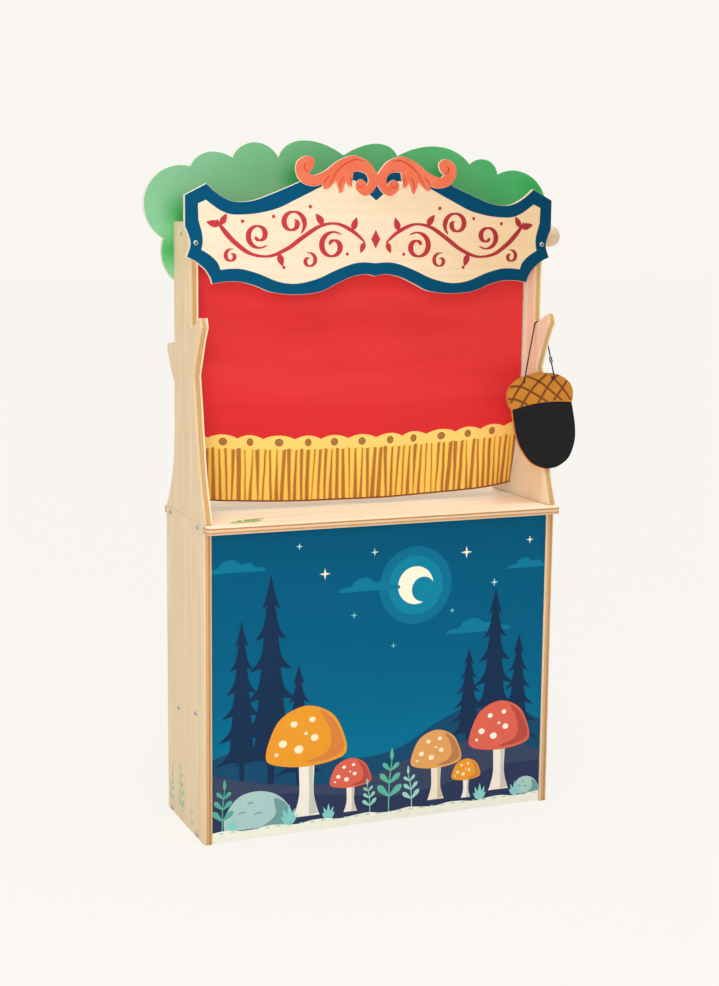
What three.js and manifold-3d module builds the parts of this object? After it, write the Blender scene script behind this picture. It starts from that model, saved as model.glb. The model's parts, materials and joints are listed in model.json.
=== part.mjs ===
// Puppet theatre stand: a plywood cabinet with a counter, two posts cut like branching trunks,
// a scalloped name board with a scrolled crest, a leafy backboard, a roller curtain and a
// chalkboard shaped like an acorn that hangs from one branch.
// Millimetres, +Z up, the audience towards -Y. The origin is on the floor under the cabinet's middle.
import * as THREE from 'three'
import { mergeVertices } from 'three/addons/utils/BufferGeometryUtils.js'
import Module from 'manifold-3d'

const wasm = await Module()
wasm.setup()

// Shared sizes
const ply = 15
const seat = 0.3
const overrun = 2

// Cabinet
const cabinetWidth = 700
const cabinetDepth = 230
const cabinetHeight = 590
const frontPanelThickness = 5
const frontPanelSetback = 3
const frontPanelFloorGap = 2
const grooveDepth = 6
const boardRearInset = 2

// Counter board
const counterLip = 27
const counterRearLip = 16
const counterEar = 0.8
const counterCorner = 10
const counterRound = 2.5

// Sloped shelf, measured along its own slope from its front screws
const shelfHeight = 236
const shelfSlope = THREE.MathUtils.degToRad(9.5)
const shelfRearInset = 8

// Side screws, with places measured from the cabinet's front and back faces
const screwRadius = 3
const screwLength = 50
const screwHeadRadius = 4.8
const screwHeadHeight = 2.6
const counterScrewFront = 31
const counterScrewRear = 30
const shelfScrewFront = 47
const shelfScrewPitch = 108.5
const bottomScrewFront = 43
const bottomScrewRear = 28

// Posts, with setbacks measured from the cabinet's front face
const postHeight = 527
const postSetback = 72
const postWidth = 99
const toeOverhang = 8
const dowelRadius = 4
const dowelLength = 40
const dowelInset = 70

// Name board and backboard, which hang from the tops of the posts and pass the cabinet's sides
const signOverhang = 12
const signHeight = 224
const signDrop = 128
const signThickness = 9.5
const foliageOverhang = 55
const foliageHeight = 256
const foliageDrop = 105
const foliageThickness = 9
const boardScrewDrop = 36.5
const boardScrewRadius = 2.4
const boardScrewLength = 38
const boardScrewHeadRadius = 4.8
const boardScrewHeadHeight = 2.4

// Crest on the name board
const crestHalfWidth = 158.5
const crestHeight = 71
const crestThickness = 5
const crestOverlap = 47

// Roller and curtain
const rollerSetback = 122
const rollerDrop = 21.5
const rollerRadius = 11
const rollerEndPlay = 1.2
const spindleRadius = 6
const knobRadius = 20.5
const knobNeck = 23
const knobFaceRadius = 9
const knobBore = 14
const pinRadius = 1.8
const pinDepth = 24
const pinHeadRadius = 3.2
const pinHeadHeight = 1.4
const curtainSideGap = 5
const clothThickness = 0.9
const woundCloth = 1.2
const hemClearance = 10
const hemBow = 14
const creaseDepth = 1.6
const creasePitch = 46
const waveDepth = 3
const wavePitch = 190
const cornerCurl = 30
const cornerCurlWidth = 75
const cornerCurlHeight = 190

// Chalkboard and its cord
const acornHalfWidth = 71.5
const acornHeight = 185
const acornThickness = 6
const acornSideways = 1.5
const acornRoll = THREE.MathUtils.degToRad(5)
const acornDrop = 96
const acornHoleRadius = 2.6
const acornHoleSpacing = 64
const acornHoleInset = 15
const cordRadius = 1.25
const cordBend = 5
const knotRadius = 3.2
const beadRadius = 2.5
const beadLength = 7
const beadDrop = 72

// Outlines. Each pair is a share of the width and a share of the height of its piece.

// Post, front edge from the toe up: share of the way from the post's front edge to the toe
const frontEdgeShares = [
  [1, 0],
  [0.658, 0.139],
  [0.482, 0.249],
  [0.325, 0.385],
  [0.186, 0.49],
]
const branchUnderShares = [
  [0.186, 0.49],
  [0.362, 0.549],
  [0.556, 0.609],
  [0.76, 0.656],
]
const branchTipShare = [0.667, 0.687]
const notchShares = [
  [0.16, 0.649],
  [0.11, 0.647],
  [0.06, 0.651],
]
const postFrontStartShare = 0.667

// Post, rear edge from the heel up: share of the way from the post's rear edge to the heel
const rearEdgeShares = [
  [1, 0],
  [0.6, 0.059],
  [0.2, 0.16],
  [0.05, 0.273],
  [0.02, 0.448],
]
const rearStubShares = [
  [0.02, 0.448],
  [0.47, 0.501],
  [0.77, 0.562],
]
const rearStubTipShares = [
  [0.74, 0.579],
  [0, 0.588],
]

// Name board, right half from the middle of its foot round to the middle of its top
const signShares = [
  [[0, 0.145], [0.055, 0.161], [0.135, 0.138], [0.214, 0.083], [0.298, 0.022], [0.43, 0],
    [0.555, 0.02], [0.644, 0.074], [0.721, 0.103], [0.796, 0.105], [0.863, 0.089]],
  [[0.863, 0.089], [0.872, 0.138], [0.898, 0.201], [0.945, 0.263], [0.992, 0.299]],
  [[0.992, 0.299], [0.973, 0.39], [0.98, 0.46], [1, 0.536]],
  [[1, 0.536], [1, 0.777]],
  [[1, 0.777], [0.89, 0.868]],
  [[0.89, 0.868], [0.837, 0.795], [0.768, 0.739], [0.696, 0.732], [0.613, 0.761], [0.456, 0.862],
    [0.354, 0.929], [0.235, 0.982], [0.138, 1], [0.061, 0.973], [0, 0.897]],
]

// Crest, right half from the middle of its foot round the small curl, the leaves and the big curl
const crestShares = [
  [[0, 0.282], [0.076, 0.07], [0.17, 0.004], [0.259, 0.141], [0.273, 0.254], [0.259, 0.345],
    [0.205, 0.42], [0.148, 0.352], [0.129, 0.261]],
  [[0.129, 0.261], [0.112, 0.4], [0.136, 0.528], [0.205, 0.6], [0.293, 0.599]],
  [[0.293, 0.599], [0.303, 0.493], [0.312, 0.373], [0.344, 0.211], [0.375, 0.282], [0.394, 0.345]],
  [[0.394, 0.345], [0.413, 0.218], [0.432, 0.099], [0.462, 0.063], [0.483, 0.155], [0.514, 0.352]],
  [[0.514, 0.352], [0.571, 0.232], [0.612, 0.162], [0.662, 0.148]],
  [[0.662, 0.148], [0.672, 0.275]],
  [[0.672, 0.275], [0.773, 0.218], [0.893, 0.275], [0.972, 0.437], [1, 0.655], [0.968, 0.859],
    [0.861, 0.972], [0.785, 0.901], [0.77, 0.817], [0.792, 0.662], [0.839, 0.577]],
  [[0.839, 0.577], [0.789, 0.493], [0.644, 0.613], [0.502, 0.845], [0.356, 0.986], [0.262, 1],
    [0.12, 0.873], [0.032, 0.655], [0, 0.542]],
]

// Backboard: where its lobes meet, from the lower left round to the lower right, how far each
// lobe stands out past the line between its ends, as a share of the height, and how far its top
// leans towards its end, as a share of that line
const lobeShares = [
  { end: [-0.864, 0], rise: 0, lean: 0 },
  { end: [-0.911, 0.289], rise: 0.047, lean: 0 },
  { end: [-0.784, 0.795], rise: 0.238, lean: 0 },
  { end: [-0.588, 0.862], rise: 0.073, lean: -0.06 },
  { end: [-0.369, 0.871], rise: 0.107, lean: -0.02 },
  { end: [-0.051, 0.898], rise: 0.115, lean: -0.115 },
  { end: [0.219, 0.902], rise: 0.087, lean: 0.115 },
  { end: [0.595, 0.855], rise: 0.102, lean: 0.05 },
  { end: [0.743, 0.785], rise: 0.074, lean: 0.025 },
  { end: [0.911, 0.289], rise: 0.289, lean: 0.02 },
  { end: [0.864, 0], rise: 0.047, lean: 0 },
]

// Chalkboard, right half from its tip up the nut and round the cap
const acornShares = [
  [[0, 0], [0.224, 0.011], [0.576, 0.086], [0.818, 0.237], [0.905, 0.388], [0.916, 0.54], [0.909, 0.65]],
  [[0.909, 0.65], [0.965, 0.69], [1, 0.765], [0.958, 0.842], [0.78, 0.917], [0.49, 0.97], [0, 1]],
]

// Facets
const holeSides = 16
const turnedSides = 28
const screwSides = 12
const edgeSteps = 4
const lobeSteps = 10
const cordSides = 8
const cordSteps = 60
const clothColumns = 26
const clothRows = 20
const ballRings = 9

// Places that several pieces share
const front = -cabinetDepth / 2
const back = cabinetDepth / 2
const insideHalf = cabinetWidth / 2 - ply
const boardHalf = insideHalf - seat
const sideCentre = cabinetWidth / 2 - ply / 2
const panelBack = front + frontPanelSetback + frontPanelThickness + seat
const counterCentre = cabinetHeight - ply / 2
const signHalfWidth = cabinetWidth / 2 + signOverhang
const foliageHalfWidth = cabinetWidth / 2 + foliageOverhang
const curtainHalfWidth = insideHalf - curtainSideGap
const postTop = cabinetHeight + seat + postHeight
const postFront = front + postSetback
const postRear = postFront + postWidth
const rollerY = front + rollerSetback
const rollerZ = postTop - rollerDrop
const boardScrewZ = postTop - boardScrewDrop
const signFront = postFront - seat - signThickness
const signBottom = postTop - signDrop
const foliageBottom = postTop - foliageDrop
const clearHole = screwRadius + seat
const cordCorner = (cordBend - cordRadius - seat) * Math.SQRT1_2

const theatre = new THREE.Group()

const finishes = {
  plywood: { color: 0xe8cfa6, roughness: 0.62 },
  paleWood: { color: 0xf3dfbd, roughness: 0.58 },
  printedBoard: { color: 0x0a6a90, roughness: 0.5 },
  signPaint: { color: 0x045f83, roughness: 0.5 },
  coralPaint: { color: 0xf2694f, roughness: 0.5 },
  leafPaint: { color: 0x4db56b, roughness: 0.55 },
  turnedWood: { color: 0xe9c6a4, roughness: 0.55 },
  redCloth: { color: 0xe6373a, roughness: 0.9 },
  blackboard: { color: 0x27272a, roughness: 0.85 },
  blackCord: { color: 0x1c1a1a, roughness: 0.9 },
  greySleeve: { color: 0x6f7478, roughness: 0.5 },
  steel: { color: 0xc6cacc, roughness: 0.3, metalness: 0.9 },
}

// Adds one named piece to a group and returns it
function piece(name, geometry, finish, parent = theatre) {
  const mesh = new THREE.Mesh(geometry, new THREE.MeshStandardMaterial(finishes[finish]))
  mesh.name = name
  parent.add(mesh)
  return mesh
}

// Solids for cutting and joining

function toSolid(geometry) {
  const bare = geometry.clone()
  bare.deleteAttribute('normal')
  bare.deleteAttribute('uv')
  const merged = mergeVertices(bare)
  const vertProperties = new Float32Array(merged.attributes.position.array)
  const triVerts = new Uint32Array(merged.index.array)
  return new wasm.Manifold(new wasm.Mesh({ numProp: 3, vertProperties, triVerts }))
}

function toGeometry(solid) {
  const mesh = solid.getMesh()
  const geometry = new THREE.BufferGeometry()
  geometry.setAttribute('position', new THREE.BufferAttribute(new Float32Array(mesh.vertProperties), 3))
  geometry.setIndex(new THREE.BufferAttribute(new Uint32Array(mesh.triVerts), 1))
  geometry.computeVertexNormals()
  return geometry
}

function cut(geometry, tools) {
  let solid = toSolid(geometry)
  for (const tool of tools) {
    solid = solid.subtract(toSolid(tool))
  }
  return toGeometry(solid)
}

function join(geometry, addition) {
  return toGeometry(toSolid(geometry).add(toSolid(addition)))
}

// Drills, each running from one coordinate to another along its axis

function drillX(radius, fromX, toX, y, z) {
  const tool = new THREE.CylinderGeometry(radius, radius, Math.abs(toX - fromX), holeSides)
  tool.rotateZ(Math.PI / 2)
  return tool.translate((fromX + toX) / 2, y, z)
}

function drillY(radius, fromY, toY, x, z) {
  const tool = new THREE.CylinderGeometry(radius, radius, Math.abs(toY - fromY), holeSides)
  return tool.translate(x, (fromY + toY) / 2, z)
}

function drillZ(radius, fromZ, toZ, x, y) {
  const tool = new THREE.CylinderGeometry(radius, radius, Math.abs(toZ - fromZ), holeSides)
  tool.rotateX(Math.PI / 2)
  return tool.translate(x, y, (fromZ + toZ) / 2)
}

function box(width, depth, height, x, y, z) {
  return new THREE.BoxGeometry(width, depth, height).translate(x, y, z)
}

// Boards cut from an outline

// A board that stands across the stage: the outline is in X and Z, and its back is at y
function facingBoard(outline, thickness, y, curveSegments) {
  const geometry = new THREE.ExtrudeGeometry(outline, { depth: thickness, bevelEnabled: false, curveSegments })
  geometry.rotateX(Math.PI / 2)
  return geometry.translate(0, y, 0)
}

// A board that stands front to back: the outline is in Y and Z, and its middle is at x
function sidewaysBoard(outline, thickness, x, curveSegments) {
  const geometry = new THREE.ExtrudeGeometry(outline, { depth: thickness, bevelEnabled: false, curveSegments })
  geometry.applyMatrix4(new THREE.Matrix4().makeBasis(
    new THREE.Vector3(0, 1, 0),
    new THREE.Vector3(0, 0, 1),
    new THREE.Vector3(1, 0, 0),
  ))
  return geometry.translate(x - thickness / 2, 0, 0)
}

// Follows a leg of an outline: two points make a straight edge, more make one smooth curve
function follow(shape, leg) {
  const rest = leg.slice(1).map(([x, z]) => new THREE.Vector2(x, z))
  if (rest.length === 1) {
    shape.lineTo(rest[0].x, rest[0].y)
  } else {
    shape.splineThru(rest)
  }
}

function outlineOf(legs) {
  const shape = new THREE.Shape()
  shape.moveTo(...legs[0][0])
  for (const leg of legs) {
    follow(shape, leg)
  }
  return shape
}

// A whole outline from the legs of its right half, which run from the foot to the top
function mirroredOutline(shares, halfWidth, height, foot) {
  const right = shares.map((leg) => leg.map(([x, z]) => [x * halfWidth, foot + z * height]))
  const left = right.map((leg) => leg.map(([x, z]) => [-x, z]).reverse()).reverse()
  return outlineOf([...right, ...left])
}

// Turned pieces: the profile is [radius, place along X], closed on the axis
function turnedAlongX(profile, sides) {
  const points = profile.map(([radius, along]) => new THREE.Vector2(radius, along))
  return new THREE.LatheGeometry(points, sides).rotateZ(-Math.PI / 2)
}

// A screw along X with its tip at zero and its head past the far end
function screwGeometry(radius, length, headRadius, headHeight) {
  const crown = headHeight / 2
  return turnedAlongX([
    [0, 0],
    [radius, 0],
    [radius, length + seat],
    [headRadius, length + seat],
    [headRadius, length + seat + crown],
    [headRadius - crown / 2, length + seat + headHeight],
    [0, length + seat + headHeight],
  ], screwSides)
}

// Cabinet

// Where each row of side screws goes: the board that it holds, and its place on the side panel
const sideScrews = [
  { name: 'counter_front', y: front + counterScrewFront, z: counterCentre },
  { name: 'counter_rear', y: back - counterScrewRear, z: counterCentre },
  { name: 'shelf_front', y: front + shelfScrewFront, z: shelfHeight },
  {
    name: 'shelf_rear',
    y: front + shelfScrewFront + shelfScrewPitch * Math.cos(shelfSlope),
    z: shelfHeight - shelfScrewPitch * Math.sin(shelfSlope),
  },
  { name: 'bottom_front', y: front + bottomScrewFront, z: ply / 2 },
  { name: 'bottom_rear', y: back - bottomScrewRear, z: ply / 2 },
]
const screwTip = cabinetWidth / 2 - screwLength

// Blind holes in the ends of a board that two screws enter from each side
function endHoles(holes) {
  const tools = []
  for (const side of [-1, 1]) {
    for (const { y, z } of holes) {
      tools.push(drillX(clearHole, side * (screwTip - seat), side * (insideHalf + overrun), y, z))
    }
  }
  return tools
}

function dowelPlaces() {
  return [front + dowelInset, back - dowelInset]
}

function makeSidePanel(name, side) {
  const x = side * sideCentre
  const inner = side * insideHalf
  const panel = box(ply, cabinetDepth, cabinetHeight, x, 0, cabinetHeight / 2)
  const grooveWidth = frontPanelThickness + 2 * seat
  const grooveY = front + frontPanelSetback + frontPanelThickness / 2
  const tools = [
    box(2 * grooveDepth, grooveWidth, cabinetHeight + 2 * overrun, inner, grooveY, cabinetHeight / 2),
  ]
  for (const { y, z } of sideScrews) {
    tools.push(drillX(clearHole, x - ply / 2 - overrun, x + ply / 2 + overrun, y, z))
  }
  for (const y of dowelPlaces()) {
    tools.push(drillZ(
      dowelRadius + seat, cabinetHeight - dowelLength / 2 - seat, cabinetHeight + overrun, x, y,
    ))
  }
  piece(name, cut(panel, tools), 'plywood')
}

function makeFrontPanel() {
  const halfWidth = insideHalf + grooveDepth - seat
  const top = cabinetHeight - ply - seat
  const height = top - frontPanelFloorGap
  const y = front + frontPanelSetback + frontPanelThickness / 2
  const panel = box(2 * halfWidth, frontPanelThickness, height, 0, y, frontPanelFloorGap + height / 2)
  piece('front_panel', panel, 'printedBoard')
}

function makeBottomBoard() {
  const depth = back - boardRearInset - panelBack
  const board = box(2 * boardHalf, depth, ply, 0, panelBack + depth / 2, ply / 2)
  piece('bottom_board', cut(board, endHoles(sideScrews.slice(4))), 'plywood')
}

// The shelf lies in a turned group whose origin is on the line of its front screws
function makeShelf() {
  const cornerSwing = ply / 2 * Math.sin(shelfSlope)
  const screwY = front + shelfScrewFront
  const ahead = (screwY - panelBack - seat - cornerSwing) / Math.cos(shelfSlope)
  const behind = (back - shelfRearInset - screwY - cornerSwing) / Math.cos(shelfSlope)
  const board = box(2 * boardHalf, ahead + behind, ply, 0, (behind - ahead) / 2, 0)
  const slope = new THREE.Group()
  slope.position.set(0, screwY, shelfHeight)
  slope.rotation.x = -shelfSlope
  theatre.add(slope)
  const holes = [{ y: 0, z: 0 }, { y: shelfScrewPitch, z: 0 }]
  piece('sloped_shelf', cut(board, endHoles(holes)), 'plywood', slope)
}

// The counter lies between the side panels, and its lips run past their front and back edges
function makeCounter() {
  const earHalf = cabinetWidth / 2 + counterEar
  const lipFront = front - counterLip
  const lipBack = back + counterRearLip
  const r = counterCorner
  const outline = new THREE.Shape()
  outline.moveTo(-earHalf + r, lipFront)
  outline.lineTo(earHalf - r, lipFront)
  outline.absarc(earHalf - r, lipFront + r, r, -Math.PI / 2, 0)
  outline.lineTo(earHalf, front - seat)
  outline.lineTo(boardHalf, front - seat)
  outline.lineTo(boardHalf, back + seat)
  outline.lineTo(earHalf, back + seat)
  outline.absarc(earHalf - r, lipBack - r, r, 0, Math.PI / 2)
  outline.absarc(-earHalf + r, lipBack - r, r, Math.PI / 2, Math.PI)
  outline.lineTo(-earHalf, back + seat)
  outline.lineTo(-boardHalf, back + seat)
  outline.lineTo(-boardHalf, front - seat)
  outline.lineTo(-earHalf, front - seat)
  outline.absarc(-earHalf + r, lipFront + r, r, Math.PI, Math.PI * 1.5)
  const board = new THREE.ExtrudeGeometry(outline, {
    depth: ply - 2 * counterRound,
    bevelSize: counterRound,
    bevelThickness: counterRound,
    bevelOffset: -counterRound,
    bevelSegments: 3,
    curveSegments: 3,
  })
  board.translate(0, 0, cabinetHeight - ply + counterRound)
  piece('counter_top', cut(board, endHoles(sideScrews.slice(0, 2))), 'paleWood')
}

function makeSideScrews() {
  const geometry = screwGeometry(screwRadius, screwLength, screwHeadRadius, screwHeadHeight)
  for (const [word, side] of [['left', -1], ['right', 1]]) {
    for (const { name, y, z } of sideScrews) {
      const screw = piece(`screw_${name}_${word}`, geometry, 'steel')
      screw.position.set(side * screwTip, y, z)
      screw.rotation.z = side > 0 ? 0 : Math.PI
    }
  }
}

// Posts

function postFrontPoint([out, up]) {
  return [postFront - out * (postSetback + toeOverhang), cabinetHeight + seat + up * postHeight]
}

function postRearPoint([out, up]) {
  return [postRear + out * (back - postRear), cabinetHeight + seat + up * postHeight]
}

function postOutline() {
  const down = (points) => points.map(postFrontPoint).reverse()
  const notchTop = [postFront, cabinetHeight + seat + postFrontStartShare * postHeight]
  const stubEnd = rearStubShares.at(-1)
  return outlineOf([
    [postFrontPoint(frontEdgeShares[0]), postRearPoint(rearEdgeShares[0])],
    rearEdgeShares.map(postRearPoint),
    rearStubShares.map(postRearPoint),
    [postRearPoint(stubEnd), postRearPoint(rearStubTipShares[0])],
    rearStubTipShares.map(postRearPoint),
    [postRearPoint(rearStubTipShares[1]), [postRear, postTop]],
    [[postRear, postTop], [postFront, postTop]],
    [[postFront, postTop], notchTop],
    [notchTop, postFrontPoint(notchShares[2])],
    down(notchShares),
    [postFrontPoint(notchShares[0]), postFrontPoint(branchTipShare)],
    [postFrontPoint(branchTipShare), postFrontPoint(branchUnderShares.at(-1))],
    down(branchUnderShares),
    down(frontEdgeShares),
  ])
}

function makePost(name, side, axleRadius) {
  const x = side * sideCentre
  const frontReach = boardScrewLength - signThickness
  const rearReach = boardScrewLength - foliageThickness
  const tools = [
    drillX(axleRadius + seat, x - ply / 2 - overrun, x + ply / 2 + overrun, rollerY, rollerZ),
    drillY(boardScrewRadius + seat, postFront - overrun, postFront + frontReach, x, boardScrewZ),
    drillY(boardScrewRadius + seat, postRear - rearReach, postRear + overrun, x, boardScrewZ),
  ]
  for (const y of dowelPlaces()) {
    const dowelTop = cabinetHeight + dowelLength / 2 + seat
    tools.push(drillZ(dowelRadius + seat, cabinetHeight - overrun, dowelTop, x, y))
  }
  piece(name, cut(sidewaysBoard(postOutline(), ply, x, edgeSteps), tools), 'plywood')
}

function makeDowels() {
  for (const [word, side] of [['left', -1], ['right', 1]]) {
    for (const [place, y] of dowelPlaces().entries()) {
      const geometry = new THREE.CylinderGeometry(dowelRadius, dowelRadius, dowelLength, holeSides)
      const dowel = piece(`dowel_${place === 0 ? 'front' : 'rear'}_${word}`, geometry, 'turnedWood')
      dowel.position.set(side * sideCentre, y, cabinetHeight)
      dowel.rotation.x = Math.PI / 2
    }
  }
}

// Boards on the posts

function boardScrewHoles(fromY, toY) {
  return [-1, 1].map((side) => drillY(boardScrewRadius + seat, fromY, toY, side * sideCentre, boardScrewZ))
}

function makeSign() {
  const outline = mirroredOutline(signShares, signHalfWidth, signHeight, signBottom)
  const board = facingBoard(outline, signThickness, signFront + signThickness, edgeSteps)
  piece('sign_board', cut(board, boardScrewHoles(signFront - overrun, postFront)), 'signPaint')
}

function makeCrest() {
  const foot = signBottom + signHeight - crestOverlap
  const outline = mirroredOutline(crestShares, crestHalfWidth, crestHeight, foot)
  piece('scroll_crest', facingBoard(outline, crestThickness, signFront - seat, edgeSteps), 'coralPaint')
}

// Carries a path round a lobe that ends at the given point and stands out to the path's left
function lobe(path, start, end, rise, lean) {
  const along = end.clone().sub(start)
  const outward = new THREE.Vector2(-along.y, along.x).normalize()
  const halfChord = along.length() / 2
  const radius = (halfChord * halfChord + rise * rise) / (2 * rise)
  const centre = start.clone().add(end).divideScalar(2).addScaledVector(outward, rise - radius)
  const from = start.clone().sub(centre).angle()
  const to = end.clone().sub(centre).angle()
  const arc = new THREE.Path().absarc(centre.x, centre.y, radius, from, to, true)
  for (const point of arc.getPoints(lobeSteps).slice(1, -1)) {
    const height = point.clone().sub(start).dot(outward)
    point.addScaledVector(along, lean * height / rise)
    path.lineTo(point.x, point.y)
  }
  path.lineTo(end.x, end.y)
}

function makeFoliage() {
  const place = ([x, z]) => new THREE.Vector2(x * foliageHalfWidth, foliageBottom + z * foliageHeight)
  const outline = new THREE.Shape()
  let last = place(lobeShares[0].end)
  outline.moveTo(last.x, last.y)
  for (const { end, rise, lean } of lobeShares.slice(1)) {
    const next = place(end)
    lobe(outline, last, next, rise * foliageHeight, lean)
    last = next
  }
  outline.closePath()
  const rear = postRear + seat + foliageThickness
  const board = facingBoard(outline, foliageThickness, rear, edgeSteps)
  piece('foliage_board', cut(board, boardScrewHoles(postRear, rear + overrun)), 'leafPaint')
}

// A screw in each end of the name board, from the front, and of the backboard, from the rear
function makeBoardScrews() {
  const length = boardScrewLength
  const geometry = screwGeometry(boardScrewRadius, length, boardScrewHeadRadius, boardScrewHeadHeight)
  const rear = postRear + seat + foliageThickness
  for (const [word, side] of [['left', -1], ['right', 1]]) {
    const signScrew = piece(`screw_sign_${word}`, geometry, 'steel')
    signScrew.position.set(side * sideCentre, signFront + length, boardScrewZ)
    signScrew.rotation.z = -Math.PI / 2
    const rearScrew = piece(`screw_foliage_${word}`, geometry, 'steel')
    rearScrew.position.set(side * sideCentre, rear - length, boardScrewZ)
    rearScrew.rotation.z = Math.PI / 2
  }
}

// Roller

// The dowel turns on a pin at its left end and in the right post's hole
function makeRoller() {
  const end = insideHalf - rollerEndPlay
  const spindleEnd = cabinetWidth / 2 + knobNeck + knobBore - seat
  const dowel = turnedAlongX([
    [0, pinDepth - end],
    [pinRadius + seat, pinDepth - end],
    [pinRadius + seat, -end],
    [rollerRadius, -end],
    [rollerRadius, end],
    [spindleRadius, end],
    [spindleRadius, spindleEnd],
    [0, spindleEnd],
  ], turnedSides)
  piece('roller_dowel', dowel, 'turnedWood').position.set(0, rollerY, rollerZ)
}

function makeRollerPin() {
  const outer = cabinetWidth / 2 + seat
  const tip = insideHalf - rollerEndPlay - pinDepth + seat
  const pin = turnedAlongX([
    [0, -outer - pinHeadHeight],
    [pinHeadRadius, -outer - pinHeadHeight / 2],
    [pinHeadRadius, -outer],
    [pinRadius, -outer],
    [pinRadius, -tip],
    [0, -tip],
  ], screwSides)
  piece('roller_pin', pin, 'steel').position.set(0, rollerY, rollerZ)
}

// A ball with a flat face and a blind bore that takes the end of the spindle
function makeKnob() {
  const centre = Math.sqrt(knobRadius ** 2 - knobFaceRadius ** 2)
  const boreRadius = spindleRadius + seat
  const profile = [[0, knobBore], [boreRadius, knobBore], [boreRadius, 0], [knobFaceRadius, 0]]
  const startAngle = Math.acos(-centre / knobRadius)
  for (let ring = 1; ring <= ballRings; ring += 1) {
    const angle = startAngle * (1 - ring / ballRings)
    profile.push([knobRadius * Math.sin(angle), centre + knobRadius * Math.cos(angle)])
  }
  profile.at(-1)[0] = 0
  const knob = piece('roller_knob', turnedAlongX(profile, turnedSides), 'turnedWood')
  knob.position.set(cabinetWidth / 2 + knobNeck, rollerY, rollerZ)
}

// The cloth that stays wound round the dowel when the curtain is down
function makeWoundCloth() {
  const inner = rollerRadius + seat
  const outer = inner + woundCloth
  const roll = turnedAlongX([
    [inner, -curtainHalfWidth],
    [outer, -curtainHalfWidth],
    [outer, curtainHalfWidth],
    [inner, curtainHalfWidth],
    [inner, -curtainHalfWidth],
  ], turnedSides)
  piece('curtain_roll', roll, 'redCloth').position.set(0, rollerY, rollerZ)
}

// The hanging cloth: across is -1 to 1 from left to right, down is 0 at the roller and 1 at the hem
function curtainPoint(across, down) {
  const x = across * curtainHalfWidth
  const hem = cabinetHeight + hemClearance + hemBow * across * across
  const z = rollerZ + down * (hem - rollerZ)
  const hang = rollerY - rollerRadius - 2 * seat - woundCloth - clothThickness / 2
  const fall = rollerZ - z
  const slack = Math.min(fall / creasePitch, 1)
  const crease = creaseDepth * Math.sin(2 * Math.PI * fall / (2 * creasePitch)) ** 2
  const wave = waveDepth * down * Math.sin(2 * Math.PI * x / wavePitch)
  const nearEdge = Math.max(0, 1 - (curtainHalfWidth - Math.abs(x)) / cornerCurlWidth)
  const nearHem = Math.max(0, 1 - (z - hem) / cornerCurlHeight)
  const curl = cornerCurl * nearEdge ** 2 * nearHem ** 1.5
  return new THREE.Vector3(x, hang - slack * (crease + wave) + curl, z)
}

function makeCurtain() {
  const positions = []
  for (const face of [-1, 1]) {
    for (let row = 0; row <= clothRows; row += 1) {
      for (let column = 0; column <= clothColumns; column += 1) {
        const point = curtainPoint(2 * column / clothColumns - 1, row / clothRows)
        positions.push(point.x, point.y + face * clothThickness / 2, point.z)
      }
    }
  }
  const stride = clothColumns + 1
  const facing = stride * (clothRows + 1)
  const index = []
  const quad = (a, b, c, d) => index.push(a, b, c, a, c, d)
  for (let row = 0; row < clothRows; row += 1) {
    for (let column = 0; column < clothColumns; column += 1) {
      const a = row * stride + column
      quad(a, a + stride, a + stride + 1, a + 1)
      quad(facing + a, facing + a + 1, facing + a + stride + 1, facing + a + stride)
    }
  }
  for (let column = 0; column < clothColumns; column += 1) {
    const foot = clothRows * stride + column
    quad(column, column + 1, facing + column + 1, facing + column)
    quad(foot + 1, foot, facing + foot, facing + foot + 1)
  }
  for (let row = 0; row < clothRows; row += 1) {
    const left = row * stride
    const right = left + clothColumns
    quad(left + stride, left, facing + left, facing + left + stride)
    quad(right, right + stride, facing + right + stride, facing + right)
  }
  const cloth = new THREE.BufferGeometry()
  cloth.setAttribute('position', new THREE.Float32BufferAttribute(positions, 3))
  cloth.setIndex(index)
  cloth.computeVertexNormals()
  piece('curtain', cloth, 'redCloth')
}

// Chalkboard. Its group's origin is where the cord crosses the branch's notch, and the group
// leans until the board's back rests on the front edge of the post.

// The post's front edge beside the board, as points (y, z) from the board's foot to its top
function edgeBehindAcorn(topZ) {
  const corners = frontEdgeShares.map(postFrontPoint).map(([y, z]) => new THREE.Vector2(y, z))
  const samples = new THREE.SplineCurve(corners).getPoints(holeSides * corners.length)
  return samples.filter((sample) => sample.y > topZ - acornHeight && sample.y < topZ + ply)
}

function hangAcorn() {
  const [notchY, notchZ] = postFrontPoint(notchShares[1])
  const pivotZ = notchZ + seat + cordBend - cordCorner
  const edge = edgeBehindAcorn(pivotZ - acornDrop)
  const rise = edge.at(-1).clone().sub(edge[0])
  const lean = Math.atan2(rise.x, rise.y)
  const distances = edge.map(({ x, y }) => (x - notchY) * Math.cos(lean) - (y - pivotZ) * Math.sin(lean))
  const hanger = new THREE.Group()
  hanger.position.set(0, notchY, pivotZ)
  hanger.rotation.x = -lean
  theatre.add(hanger)
  return { hanger, boardBack: Math.min(...distances) - seat, boardTop: -acornDrop }
}

// A hole's place in the hanger: the board is turned in its own plane about its middle
function acornHole(side, boardTop) {
  const x = side * acornHoleSpacing / 2
  const z = acornHeight / 2 - acornHoleInset
  const turnedX = x * Math.cos(acornRoll) - z * Math.sin(acornRoll)
  const turnedZ = x * Math.sin(acornRoll) + z * Math.cos(acornRoll)
  return { x: sideCentre - acornSideways + turnedX, z: boardTop - acornHeight / 2 + turnedZ }
}

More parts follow.
